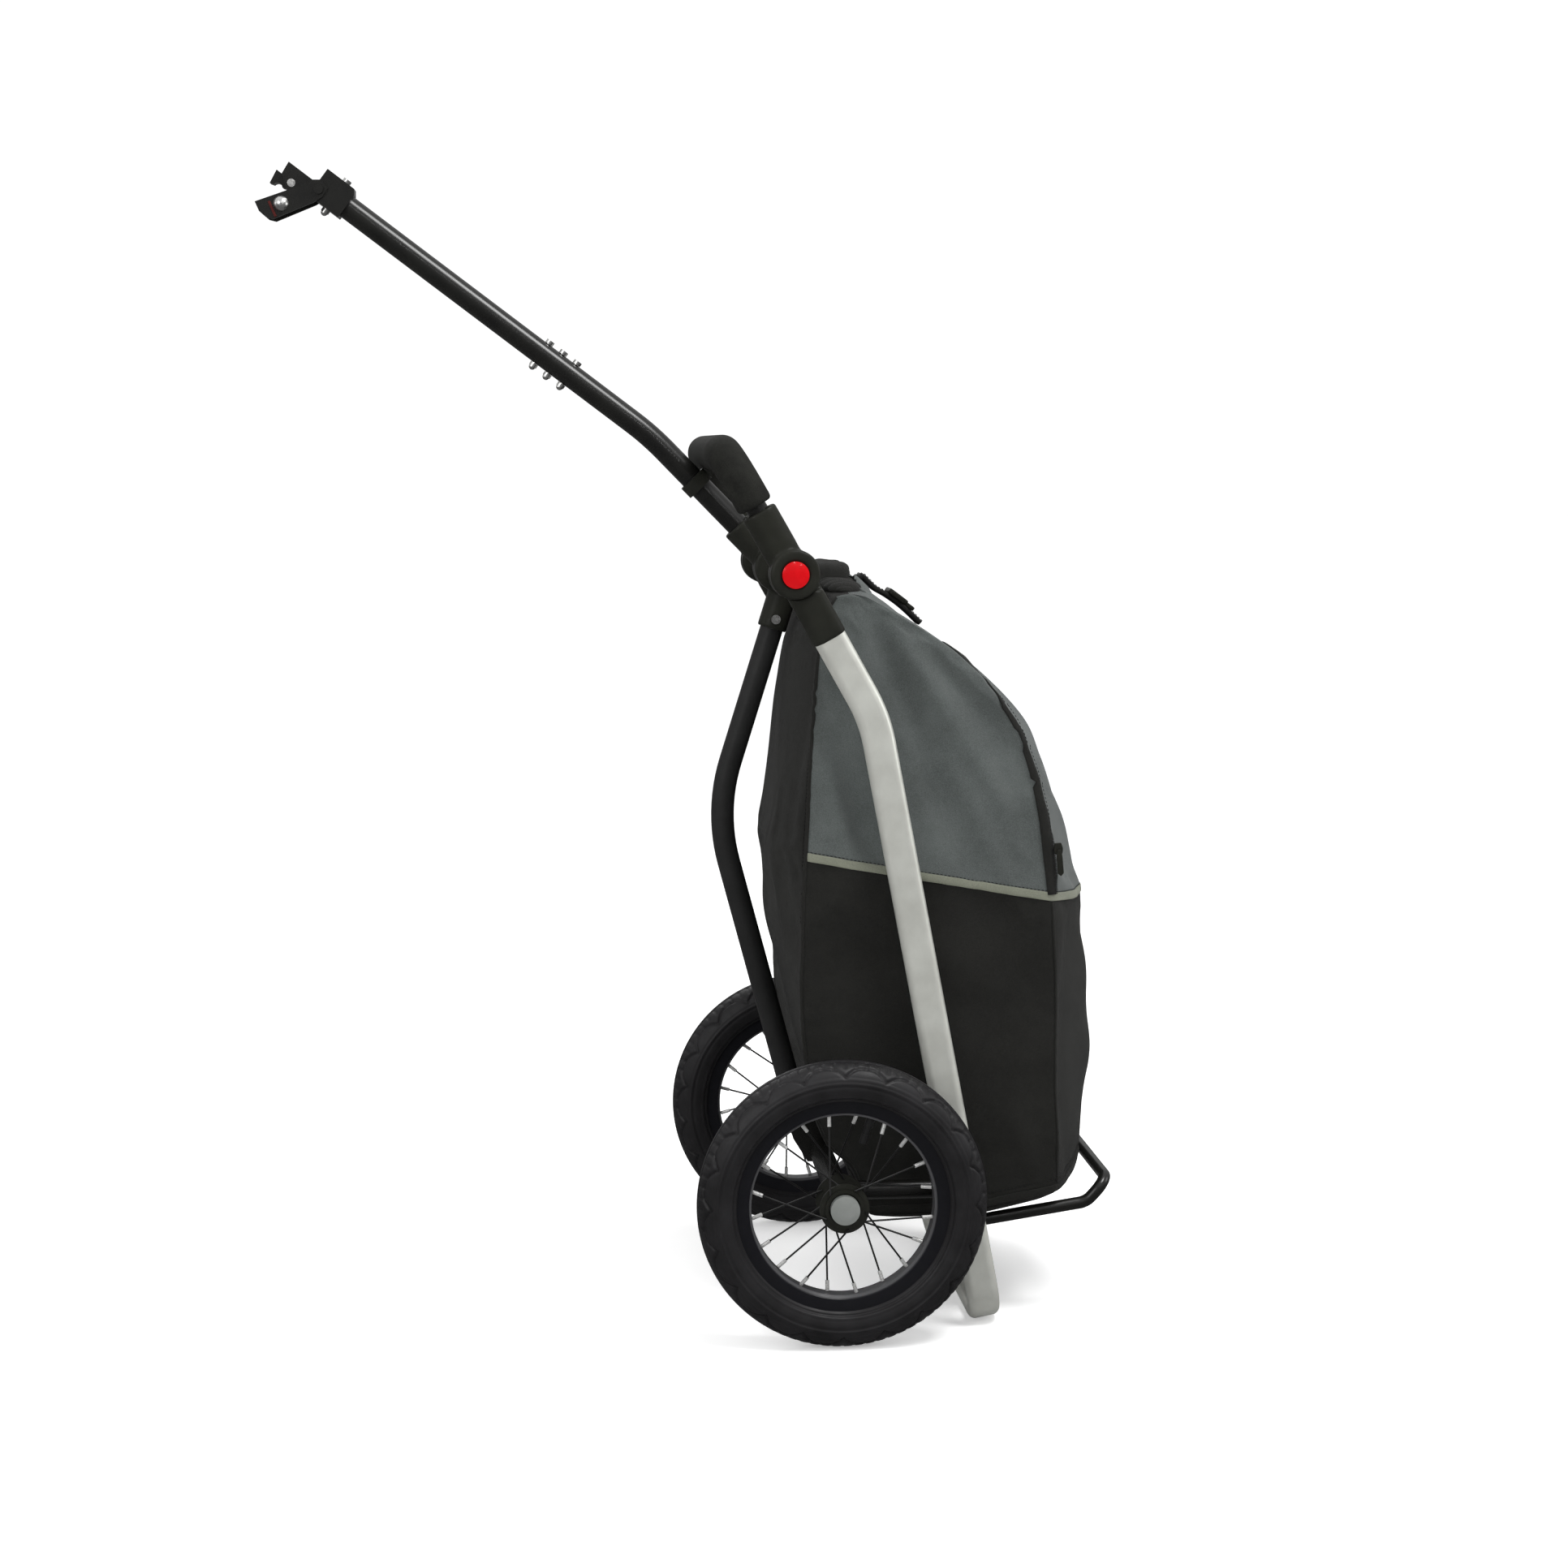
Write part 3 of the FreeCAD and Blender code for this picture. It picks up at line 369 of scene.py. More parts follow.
def emboss(tree, shader, heights):
    """Chains bumps from (height, depth in metres) pairs into the shader's normal."""
    normal = None
    for height, depth in heights:
        made = node(tree, "ShaderNodeBump", Strength=1.0, Distance=depth)
        tree.links.new(height, made.inputs["Height"])
        if normal is not None:
            tree.links.new(normal, made.inputs["Normal"])
        normal = made.outputs["Normal"]
    tree.links.new(normal, shader.inputs["Normal"])


def shades(tree, shader, value, dark, light):
    tree.links.new(ramp(tree, value, [(0.3, dark), (0.7, light)]), shader.inputs["Base Color"])


def aluminium():
    """Satin anodised tube: fine drawing lines, faint clouds and a few rubbed patches."""
    material, tree, shader = plain("aluminium_tube", (0.62, 0.63, 0.58), 0.4, 0.6)
    shades(tree, shader, speckle(tree, 25, 5), (0.575, 0.58, 0.535), (0.69, 0.70, 0.65))
    roughen(tree, shader, speckle(tree, 60, 6), 0.36, 0.5)
    lines = speckle(tree, 900, 2, stretch=(1, 1, 0.03))
    emboss(tree, shader, [(lines, 0.00002), (speckle(tree, 40, 3), 0.0001)])
    return material


def paint(name, dark, light, rough_low, rough_high, depth=0.00001, specular=0.5):
    """Powder coat: nearly even colour, uneven gloss, and an orange-peel surface where depth isn't 0."""
    material, tree, shader = plain(name, light, rough_low, 0.0, specular)
    shades(tree, shader, speckle(tree, 35, 6), dark, light)
    roughen(tree, shader, speckle(tree, 90, 5), rough_low, rough_high)
    if depth:
        emboss(tree, shader, [(speckle(tree, 400, 2), depth)])
    return material


def moulded(name, dark, light, roughness, grain=1600, depth=0.00006, specular=0.1):
    """Moulded plastic or rubber with a fine grain and slightly worn, uneven sheen."""
    material, tree, shader = plain(name, light, roughness, 0.0, specular)
    shades(tree, shader, speckle(tree, 30, 6), dark, light)
    roughen(tree, shader, speckle(tree, 70, 6), roughness - 0.06, roughness + 0.08)
    emboss(tree, shader, [(speckle(tree, grain, 2), depth), (speckle(tree, 60, 3), 0.00012)])
    return material


def glossy_red():
    material, tree, shader = plain("red_plastic", (0.5, 0.002, 0.004), 0.2, 0.0, 0.12)
    shades(tree, shader, speckle(tree, 120, 4), (0.46, 0.0015, 0.004), (0.54, 0.0025, 0.006))
    shader.inputs["Coat Weight"].default_value = 0.25
    shader.inputs["Coat Roughness"].default_value = 0.06
    emboss(tree, shader, [(speckle(tree, 500, 2), 0.00001)])
    return material


def zinc(name, light, roughness, metallic):
    """Plated steel: mottled passivation and faint turning marks."""
    material, tree, shader = plain(name, (light, light, light), roughness, metallic)
    shades(tree, shader, speckle(tree, 260, 5), (light * 0.75,) * 3, (light, light, light * 0.97))
    roughen(tree, shader, speckle(tree, 400, 4), roughness - 0.1, roughness + 0.14)
    emboss(tree, shader, [(speckle(tree, 1500, 2), 0.00001)])
    return material


def foam():
    """Closed-cell foam: small open pores and a dull, slightly dusty skin."""
    material, tree, shader = plain("foam", (0.014, 0.014, 0.012), 0.82, 0.0, 0.12)
    shades(tree, shader, speckle(tree, 60, 6), (0.0085, 0.0085, 0.0075), (0.0145, 0.0150, 0.0125))
    cells = node(tree, "ShaderNodeTexVoronoi", Scale=900.0)
    tree.links.new(place(tree), cells.inputs["Vector"])
    emboss(tree, shader, [(cells.outputs["Distance"], 0.0002), (speckle(tree, 90, 3), 0.0005)])
    return material


RIM_LIP_R = 0.0972


def rim_paint():
    """Black anodised rim with a brushed grey inner lip; the lip is told by its distance from the axle."""
    material, tree, shader = plain("rim_black", (0.006, 0.006, 0.008), 0.3, 0.0, 0.2)
    parts = node(tree, "ShaderNodeSeparateXYZ")
    tree.links.new(place(tree), parts.inputs["Vector"])
    across = arithmetic(tree, "SUBTRACT", parts.outputs["X"], AXLE.x)
    up = arithmetic(tree, "SUBTRACT", parts.outputs["Z"], AXLE.z)
    square = arithmetic(tree, "ADD", arithmetic(tree, "MULTIPLY", across, across),
                        arithmetic(tree, "MULTIPLY", up, up))
    radius = arithmetic(tree, "SQRT", square, 0.0)
    lip = map_range(tree, radius, RIM_LIP_R - 0.8 * MM, RIM_LIP_R + 0.2 * MM, 0.0, 1.0)
    colour = ramp(tree, lip, [(0.0, (0.06, 0.06, 0.063)), (1.0, (0.0055, 0.0055, 0.0075))])
    tree.links.new(colour, shader.inputs["Base Color"])
    roughen(tree, shader, speckle(tree, 120, 5), 0.3, 0.44)
    emboss(tree, shader, [(speckle(tree, 1200, 2), 0.00002)])
    return material


def woven(name, dark, light, thread=0.00075, sheen=0.12):
    """Coated polyester: plain weave of crossing threads, flecked yarn, soft worn clouds."""
    material, tree, shader = plain(name, light, 0.85, 0.0, 0.15)
    shader.inputs["Sheen Weight"].default_value = sheen
    shader.inputs["Sheen Roughness"].default_value = 0.5
    fleck = speckle(tree, 1100, 2, 0.6)
    cloud = speckle(tree, 14, 6, 0.6)
    blend = arithmetic(tree, "ADD", arithmetic(tree, "MULTIPLY", fleck, 0.55),
                       arithmetic(tree, "MULTIPLY", cloud, 0.45))
    tree.links.new(ramp(tree, blend, [(0.36, dark), (0.64, light)]), shader.inputs["Base Color"])
    parts = node(tree, "ShaderNodeSeparateXYZ")
    tree.links.new(place(tree), parts.inputs["Vector"])
    turn = 2 * math.pi / thread
    level = arithmetic(tree, "ADD", parts.outputs["X"], parts.outputs["Y"])
    warp = arithmetic(tree, "SINE", arithmetic(tree, "MULTIPLY", level, turn), 0.0)
    weft = arithmetic(tree, "SINE", arithmetic(tree, "MULTIPLY", parts.outputs["Z"], turn), 0.0)
    weave = arithmetic(tree, "MULTIPLY", warp, weft)
    emboss(tree, shader, [(weave, 0.00010), (speckle(tree, 260, 4), 0.00025), (speckle(tree, 45, 4), 0.0012)])
    return material


def make_materials():
    """Every finish by name, without the number that Blender adds to a name that is taken."""
    black = (0.006,) * 3
    return {made.name.split(".")[0]: made for made in (
        aluminium(), foam(), glossy_red(), rim_paint(),
        paint("black_steel", (0.0055, 0.0055, 0.0050), (0.0085, 0.0085, 0.0075), 0.23, 0.27, 0.0, 0.36),
        paint("strut_paint", (0.0135,) * 3, (0.0175,) * 3, 0.42, 0.5, specular=0.16),
        paint("spoke_black", (0.004,) * 3, (0.009,) * 3, 0.3, 0.4, specular=0.3),
        moulded("black_plastic", (0.0115, 0.0118, 0.0095), (0.0165, 0.017, 0.0135), 0.38),
        moulded("grey_plastic", (0.13, 0.14, 0.132), (0.2, 0.21, 0.2), 0.36, specular=0.3),
        moulded("tyre_rubber", (0.0078, 0.0074, 0.0080), (0.0140, 0.0134, 0.0146), 0.46, 900, specular=0.22),
        moulded("tube_rubber", (0.01,) * 3, (0.016,) * 3, 0.4),
        moulded("base_board", (0.012,) * 3, (0.02,) * 3, 0.6, 500, 0.0003),
        moulded("red_rubber", (0.040, 0.0075, 0.0065), (0.070, 0.012, 0.010), 0.6),
        moulded("thread_black", black, (0.012,) * 3, 0.5),
        zinc("zinc_steel", 0.7, 0.28, 1.0),
        zinc("spring_steel", 0.5, 0.32, 1.0),
        # silver plating, given a light diffuse share instead of full metal: a painted glint that keeps every
        # spoke nipple bright
        zinc("nipple_plating_painted_glint", 0.55, 0.3, 0.35),
        woven("fabric_grey", (0.054, 0.0605, 0.0585), (0.106, 0.118, 0.1145)),
        woven("fabric_black", (0.0085, 0.0085, 0.0075), (0.0155, 0.0155, 0.0138), sheen=0.04),
        woven("piping_grey", (0.15, 0.158, 0.122), (0.22, 0.23, 0.178), 0.0006),
        woven("webbing_black", black, (0.014, 0.014, 0.013), 0.0014, 0.04),
    )}


# nodes whose finish differs from the rest of their slot
SPECIAL_FINISH = {"strut": "strut_paint", "left_nipples": "nipple_plating_painted_glint", "right_nipples": "nipple_plating_painted_glint"}


def paint_frame():
    """Every CAD node that stays takes the material of its slot."""
    for entry in frame["record"]["subparts"]:
        data = frame["nodes"][entry["node"]].data
        data.materials.clear()
        data.materials.append(materials[SPECIAL_FINISH.get(entry["node"], entry["material_slot"])])


# ---- Wheels: tyres with a bead line, sidewall ridge and scalloped tread
TYRE_RING_R = 126.5
TYRE_SECTION_R = 23.5
TYRE_BEAD_R = 110.8
TYRE_STEPS = 480
SECTION_STEPS = 84
# the part of the section that sits in the rim, as (radius, half width)
TYRE_FOOT = ((102.0, 9.0), (107.0, 9.6), (109.6, 10.4))
# ridges and grooves that run round the sidewall, as (height, radius, half width)
SIDEWALL_LINES = ((1.0, 129.6, 1.2), (-0.8, 126.9, 1.4), (-1.6, 112.6, 1.4), (0.7, 115.8, 1.7))
SCALLOPS = 20
SCALLOP_LOW_R = 136.0
SCALLOP_HIGH_R = 145.5
SHOULDER_R = 143.0


def tyre_profile():
    """Section points as (radius, offset) in mm, from the inner bead round the tread to the outer bead."""
    start = math.acos((TYRE_BEAD_R - TYRE_RING_R) / TYRE_SECTION_R)
    points = [(radius, -half) for radius, half in TYRE_FOOT]
    for k in range(SECTION_STEPS + 1):
        angle = -start + 2 * start * k / SECTION_STEPS
        points.append((TYRE_RING_R + TYRE_SECTION_R * math.cos(angle), TYRE_SECTION_R * math.sin(angle)))
    return points + [*reversed(TYRE_FOOT)]


def tread_relief(radius, offset, turn):
    """Height in mm that the mould adds or takes away at a point of the carcass; turn is in degrees."""
    relief = sum(rise * bump_at(radius, centre, half) for rise, centre, half in SIDEWALL_LINES)
    pitch = 360.0 / SCALLOPS
    side = 0.5 if offset > 0 else 0.0
    phase = (turn / pitch + side) % 1.0
    reach = abs(2 * phase - 1)
    edge = SCALLOP_HIGH_R - (SCALLOP_HIGH_R - SCALLOP_LOW_R) * reach ** 2.6
    groove = bump_at(radius, edge, 1.5)
    if radius > SCALLOP_LOW_R - 3:
        relief -= (1.4 + 0.8 * smoothstep(0.25, 0.75, reach)) * groove
        relief += 0.5 * smoothstep(edge, edge + 1.6, radius)
    if radius > SHOULDER_R:
        notch = (turn / pitch * 4 + side) % 1.0
        away = smoothstep(SHOULDER_R + 0.5, SHOULDER_R + 2.5, radius) * smoothstep(3, 6, abs(offset))
        relief -= 1.3 * bump_at(abs(notch - 0.5), 0.5, 0.2) * away
        relief -= 1.2 * bump_at(abs(offset), 4.2, 1.5)
    return relief


def make_tyre(side):
    profile = tyre_profile()
    centre_y = middle(side + "_rim").y
    outward = -1 if side == "left" else 1
    verts = []
    for i in range(TYRE_STEPS):
        angle = 2 * math.pi * i / TYRE_STEPS
        for radius, offset in profile:
            height = tread_relief(radius, offset, math.degrees(angle)) - 0.5 * (radius > SCALLOP_LOW_R)
            lean = math.atan2(offset, radius - TYRE_RING_R)
            r = radius + height * math.cos(lean)
            y = offset + height * math.sin(lean)
            verts.append(Vector((AXLE.x + r * MM * math.cos(angle), centre_y - outward * y * MM,
                                 AXLE.z + r * MM * math.sin(angle))))
    faces = grid_faces(TYRE_STEPS, len(profile), close_rows=True, close_columns=True)
    if outward < 0:
        faces = [tuple(reversed(face)) for face in faces]
    tyre = mesh_object(side + "_tread_tyre", verts, faces)
    dress(tyre, "tyre_rubber", body=side + "_wheel", replaced=[side + "_tyre"])


# ---- Moulded housings and the foam grip
# new piece, the CAD node that it replaces, body, finish, voxel in metres, smoothing passes, growth in metres
MOULDINGS = (
    ("left_handle_knuckle", "left_upper_housing", "handle", "black_plastic", 0.0012, 26, 0.0006),
    ("left_frame_knuckle", "left_lower_housing", "root", "black_plastic", 0.0012, 26, 0.0006),
    ("right_handle_knuckle", "right_upper_housing", "handle", "black_plastic", 0.0012, 26, 0.0006),
    ("right_frame_knuckle", "right_lower_housing", "root", "black_plastic", 0.0012, 26, 0.0006),
    ("centre_knuckle", "central_hub", "root", "black_plastic", 0.0012, 20, 0.0005),
    ("grip_sleeve", "foam_grip", "handle", "foam", 0.0018, 26, 0.0012),
)


def make_moulded_parts():
    for name, part, body, finish, voxel, passes, swell in MOULDINGS:
        piece = softened(name, part, voxel, passes, swell)
        dress(piece, finish, body=body, replaced=[part])


# x and z of the ends of the rubber's edge on the jaw, in mm
JAW_STRIPE = ((-584.6, 1174.5), (-577.6, 1158.5))


def make_jaw_stripe():
    """The folded-over edge of the jaw's rubber, seen on both outer faces of the jaw."""
    low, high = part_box("jaw_plates")
    for side, y, out in (("left", low.y, -1), ("right", high.y, 1)):
        ends = [at(x, z, y / MM + out * 0.2) for x, z in JAW_STRIPE]
        path = [ends[0].lerp(ends[1], k / 8) for k in range(9)]
        stripe = band(side + "_jaw_stripe", path, [Vector((0, out, 0))] * 9, 2.8 * MM, 1.2 * MM, sides=16)
        dress(stripe, "red_rubber", body="jaw")


# ---- Bag
# height, back edge, back middle, front edge, front middle, half width; X from the axle
BAG_LEVELS = (
    (113.0, 38.0, 36.0, 232.0, 262.0, 158.0),
    (145.0, 27.0, 24.0, 238.0, 284.0, 163.0),
    (166.0, 20.0, 18.0, 238.0, 292.0, 165.0),
    (195.0, -10.0, 4.0, 238.0, 297.0, 166.0),
    (250.0, -28.0, -23.0, 235.0, 301.0, 167.0),
    (340.0, -37.0, -46.0, 234.0, 296.0, 167.0),
    (430.0, -36.0, -67.0, 229.0, 287.0, 167.0),
    (530.0, -31.0, -65.0, 221.0, 266.0, 166.0),
    (620.0, -27.0, -58.0, 196.0, 229.0, 162.0),
    (700.0, -21.0, -46.0, 138.0, 156.0, 155.0),
    (750.0, -13.0, -28.0, 72.0, 84.0, 148.0),
    (773.0, 0.0, -12.0, 33.0, 41.0, 142.0),
)
BACK_COLUMNS = 44
SIDE_COLUMNS = 38
FRONT_COLUMNS = 44
LOWER_ROWS = 54
UPPER_ROWS = 50
TOP_ROWS = 5
BASE_ROWS = 12
SIDE_CROWN = 5.0


def bag_column(z, j):
    """The skin's (x, y) in mm at a height and a column; columns count from the back middle, left first."""
    back, back_mid, front, front_mid, half = (hermite(BAG_LEVELS, z, k) for k in range(1, 6))
    half_back = BACK_COLUMNS // 2
    half_front = FRONT_COLUMNS // 2
    total = 2 * (half_back + SIDE_COLUMNS + half_front)
    left = j <= total // 2
    k = j if left else total - j
    if k <= half_back:
        s = k / half_back
        x, y = back_mid + (back - back_mid) * s ** 3, half * s
    elif k <= half_back + SIDE_COLUMNS:
        s = (k - half_back) / SIDE_COLUMNS
        x, y = back + (front - back) * s, half + SIDE_CROWN * math.sin(math.pi * s) ** 0.8
    else:
        s = (k - half_back - SIDE_COLUMNS) / half_front
        x, y = front + (front_mid - front) * (1 - (1 - s) ** 2), half * (1 - s)
    return x, (-y if left else y)


def base_height(x):
    """Height in mm of the bag's underside, which rises towards the front."""
    return 114.0 + 0.029 * max(0.0, x - 30) + 0.19 * max(0.0, x - 150)


def piping_height(x):
    """Height in mm of the seam between the lower and the upper fabric."""
    return 499.5 - 0.171 * (x + 35)


def bag_columns():
    return BACK_COLUMNS + 2 * SIDE_COLUMNS + FRONT_COLUMNS


def fold(x, z, from_x, from_z, to_x, to_z, width):
    """Height of a soft fold along a line in the side panel, 1 on its crest and 0 away from it."""
    run = Vector((to_x - from_x, to_z - from_z))
    offset = Vector((x - from_x, z - from_z))
    t = offset.dot(run) / run.length_squared
    away = abs(offset.x * run.y - offset.y * run.x) / run.length
    taper = smoothstep(-0.15, 0.25, t) * (1 - smoothstep(0.7, 1.15, t))
    return taper * math.exp(-(away / width) ** 2)


# from x, z to x, z, width, height in mm; the folds that hang from the bag's upper corners
SIDE_FOLDS = (
    (20, 772, 150, 500, 17, -11.0),
    (44, 764, 200, 520, 15, 8.0),
    (70, 742, 222, 560, 11, -6.0),
    (96, 725, 232, 610, 12, 5.0),
    (-2, 740, 84, 470, 15, 7.0),
    (-14, 700, 44, 480, 14, -8.0),
    (-22, 620, 26, 455, 12, 6.0),
    (112, 600, 190, 452, 13, 6.5),
    (84, 600, 150, 455, 12, -6.0),
    (168, 600, 228, 470, 9, -5.0),
    (176, 520, 228, 470, 7, 4.5),
    (-10, 470, 120, 370, 22, 4.0),
    (10, 420, 200, 300, 26, -5.0),
    (205, 440, 90, 250, 24, 4.5),
    (-20, 330, 60, 180, 20, 4.0),
    (215, 300, 110, 150, 22, -5.0),
    (180, 240, 228, 150, 16, 4.0),
)


# from y, z to y, z, width, height in mm; soft folds of the front panel
FRONT_FOLDS = (
    (-150, 650, -60, 490, 15, 5.0),
    (-122, 600, 10, 478, 18, -5.0),
    (146, 640, 76, 500, 15, 5.0),
    (100, 600, 20, 500, 18, -4.0),
    (52, 705, 6, 580, 16, -4.0),
    (-66, 712, -22, 600, 14, 4.0),
    (-140, 470, -30, 330, 22, 4.0),
    (134, 462, 40, 300, 24, -5.0),
    (-90, 300, 60, 200, 24, 4.0),
)


def bag_grid():
    """Rows of points from the bottom middle, up the skin, to the ridge at the top."""
    columns = bag_columns()
    top_z = BAG_LEVELS[-1][0]
    rows = []
    for i in range(LOWER_ROWS + UPPER_ROWS + 1):
        row = []
        for j in range(columns):
            low = base_height(bag_column(150.0, j)[0])
            seam = piping_height(bag_column(470.0, j)[0])
            if i <= LOWER_ROWS:
                t = i / LOWER_ROWS
                z = low + (seam - low) * t
            else:
                z = seam + (top_z - seam) * (i - LOWER_ROWS) / UPPER_ROWS
            x, y = bag_column(z, j)
            row.append(Vector((x, y, z - 5.5 * smoothstep(80, 142, abs(y)) * smoothstep(690, 773, z))))
        rows.append(row)
    first, last = rows[0], rows[-1]

    def toward_ridge(row, share, drop):
        points = []
        xs = [p.x for p in row]
        mid = (min(xs) + max(xs)) / 2
        for p in row:
            x = p.x + (mid - p.x) * share
            z = p.z + drop * (1 - 0.6 * smoothstep(70, 140, abs(p.y)))
            points.append(Vector((x, p.y * (1 - 0.02 * share), z)))
        return points

    below = []
    for k in range(1, BASE_ROWS + 1):
        share = k / BASE_ROWS
        points = toward_ridge(first, share, 0.0)
        for p in points:
            p.z = base_height(p.x) - 3.0 * smoothstep(0, 0.25, share)
        below.insert(0, points)
    above = []
    for k in range(1, TOP_ROWS + 1):
        share = k / TOP_ROWS
        above.append(toward_ridge(last, share, 7.0 * math.sin(share * math.pi / 2)))
    return below + rows + above


def bag_folds(rows):
    """Moves the skin out and in along the hanging folds and dimples, in mm; seams keep their line."""
    columns = bag_columns()
    half_back = BACK_COLUMNS // 2
    for row in rows:
        for j, p in enumerate(row):
            k = j if j <= columns // 2 else columns - j
            sign = -1 if j <= columns // 2 else 1
            ripple = noise.noise(Vector((p.x * 0.011, p.y * 0.008, p.z * 0.009 + sign * 3)))
            if half_back < k < half_back + SIDE_COLUMNS:
                s = (k - half_back) / SIDE_COLUMNS
                near_seam = abs(p.z - piping_height(p.x)) / 26
                hold = min(1.0, 5 * s, 5 * (1 - s)) * (0.35 + 0.65 * min(1.0, near_seam))
                shift = sum(h * fold(p.x, p.z, x0, z0, x1, z1, w) for x0, z0, x1, z1, w, h in SIDE_FOLDS)
                p.y += sign * (shift * (1.0 if sign < 0 else 0.8) + 2.5 * ripple) * hold
            elif k > half_back + SIDE_COLUMNS:
                s = (k - half_back - SIDE_COLUMNS) / (FRONT_COLUMNS // 2)
                hold = min(1.0, 4 * s)
                shift = sum(h * fold(p.y, p.z, y0, z0, y1, z1, w) for y0, z0, y1, z1, w, h in FRONT_FOLDS)
                p.x += (4.0 * ripple + shift) * hold * (1 if p.z < 700 else 0.4)
            elif k < half_back:
                p.x += 3.0 * ripple * (1 - k / half_back)


def seam_weights(rows):
    """Which points stay put while the fabric fills: the seams and the ends."""
    columns = bag_columns()
    half_back = BACK_COLUMNS // 2
    seams = {half_back, half_back + SIDE_COLUMNS, columns - half_back, columns - half_back - SIDE_COLUMNS}
    pinned = []
    for i in range(len(rows)):
        for j in range(columns):
            on_row = i <= BASE_ROWS or i == BASE_ROWS + LOWER_ROWS or i >= BASE_ROWS + LOWER_ROWS + UPPER_ROWS
            if j in seams or on_row:
                pinned.append(i * columns + j)
    return pinned


CLOTH_FRAMES = 16
# the furthest that a point may move, in metres
CLOTH_CAP = 0.0065


def fill_with_air(piece, pinned):
    """Lets the panels belly out between their seams, then caps how far each point has gone."""
    rest = [v.co.copy() for v in piece.data.vertices]
    group = piece.vertex_groups.new(name="seams")
    group.add(pinned, 1.0, "REPLACE")
    cloth = piece.modifiers.new("cloth", "CLOTH")
    settings = cloth.settings
    settings.quality = 5
    settings.mass = 0.25
    settings.tension_stiffness = 18
    settings.compression_stiffness = 18
    settings.shear_stiffness = 8
    settings.bending_stiffness = 0.6
    settings.vertex_group_mass = "seams"
    settings.use_pressure = True
    settings.uniform_pressure_force = 3.0
    settings.shrink_min = -0.012
    settings.effector_weights.gravity = 0.0
    cloth.collision_settings.use_collision = False
    cloth.point_cache.frame_start = 1
    cloth.point_cache.frame_end = CLOTH_FRAMES
    for step in range(1, CLOTH_FRAMES + 1):
        bpy.context.scene.frame_set(step)
    apply_modifiers(piece)
    bpy.context.scene.frame_set(1)
    for vertex, start in zip(piece.data.vertices, rest):
        move = vertex.co - start
        if move.length > 1e-9:
            vertex.co = start + move.normalized() * CLOTH_CAP * math.tanh(move.length / CLOTH_CAP)


def bag_zone(i, j):
    """Material index of a face: 0 grey, 1 black."""
    columns = bag_columns()
    k = j + 0.5 if j < columns // 2 else columns - j - 0.5
    return 1 if k < BACK_COLUMNS // 2 or i < BASE_ROWS + LOWER_ROWS else 0


def make_bag():
    columns = bag_columns()
    rows = bag_grid()
    bag_folds(rows)
    points = [at(p.x, p.z, p.y) for row in rows for p in row]
    faces = [tuple(reversed(face)) for face in grid_faces(len(rows), columns, close_columns=True)]
    bag = mesh_object("bag_shell", points, faces)
    bag.data.materials.append(materials["fabric_grey"])
    bag.data.materials.append(materials["fabric_black"])
    for index, face in enumerate(bag.data.polygons):
        face.material_index = bag_zone(index // columns, index % columns)
    fill_with_air(bag, seam_weights(rows))
    grid = [v.co.copy() for v in bag.data.vertices]
    face_outward(bag, weld=0.0002)
    subdivided(bag)
    dress(bag, None, replaced=["bag_body"])
    corners = [v.co for v in bag.data.vertices]
    return grid, BVHTree.FromPolygons(corners, [f.vertices for f in bag.data.polygons])


def skin_line(grid, skin, cells):
    """Points and normals of the skin at (row, column) cells, which may lie between grid points."""
    columns = bag_columns()
    points, directions = [], []
    for i, j in cells:
        i0, j0 = int(math.floor(i)), int(math.floor(j))
        s, t = i - i0, j - j0
        point = Vector()
        for di, wi in ((0, 1 - s), (1, s)):
            for dj, wj in ((0, 1 - t), (1, t)):
                if wi * wj:
                    point += grid[(i0 + di) * columns + (j0 + dj) % columns] * (wi * wj)
        spot, direction = skin.find_nearest(point)[:2]
        points.append(spot)
        directions.append(direction)
    return points, directions


def loft(name, rings):
    """Closed soft form through rings of points, each end drawn to its own middle."""
    points = [p for ring in rings for p in ring]
    sides = len(rings[0])
    faces = grid_faces(len(rings), sides, close_columns=True)
    for ring, start, flip in ((rings[0], 0, True), (rings[-1], (len(rings) - 1) * sides, False)):
        points.append(sum(ring, Vector()) / sides)
        for k in range(sides):
            face = (start + k, start + (k + 1) % sides, len(points) - 1)
            faces.append(tuple(reversed(face)) if flip else face)
    return mesh_object(name, points, faces)


def outline_block(name, outline, origin, u, v, w, thickness, bevel):
    """Flat moulding: an outline in the plane of u and v, thickness along w, with rounded edges."""
    count = len(outline)
    low = [origin + u * (a * MM) + v * (b * MM) for a, b in outline]
    high = [p + w * (thickness * MM) for p in low]
    faces = [(k, (k + 1) % count, count + (k + 1) % count, count + k) for k in range(count)]
    faces += [tuple(reversed(range(count))), tuple(range(count, 2 * count))]
    block = mesh_object(name, low + high, faces)
    face_outward(block)
    rounding = block.modifiers.new("bevel", "BEVEL")
    rounding.width = bevel * MM
    rounding.segments = 3
    rounding.limit_method = "ANGLE"
    rounding.angle_limit = math.radians(30)
    apply_modifiers(block)
    for face in block.data.polygons:
        face.use_smooth = len(face.vertices) < 5
    return block


STITCH_PITCH = 4.2
STITCH_LENGTH = 2.9
STITCH_GIRTH = 0.75


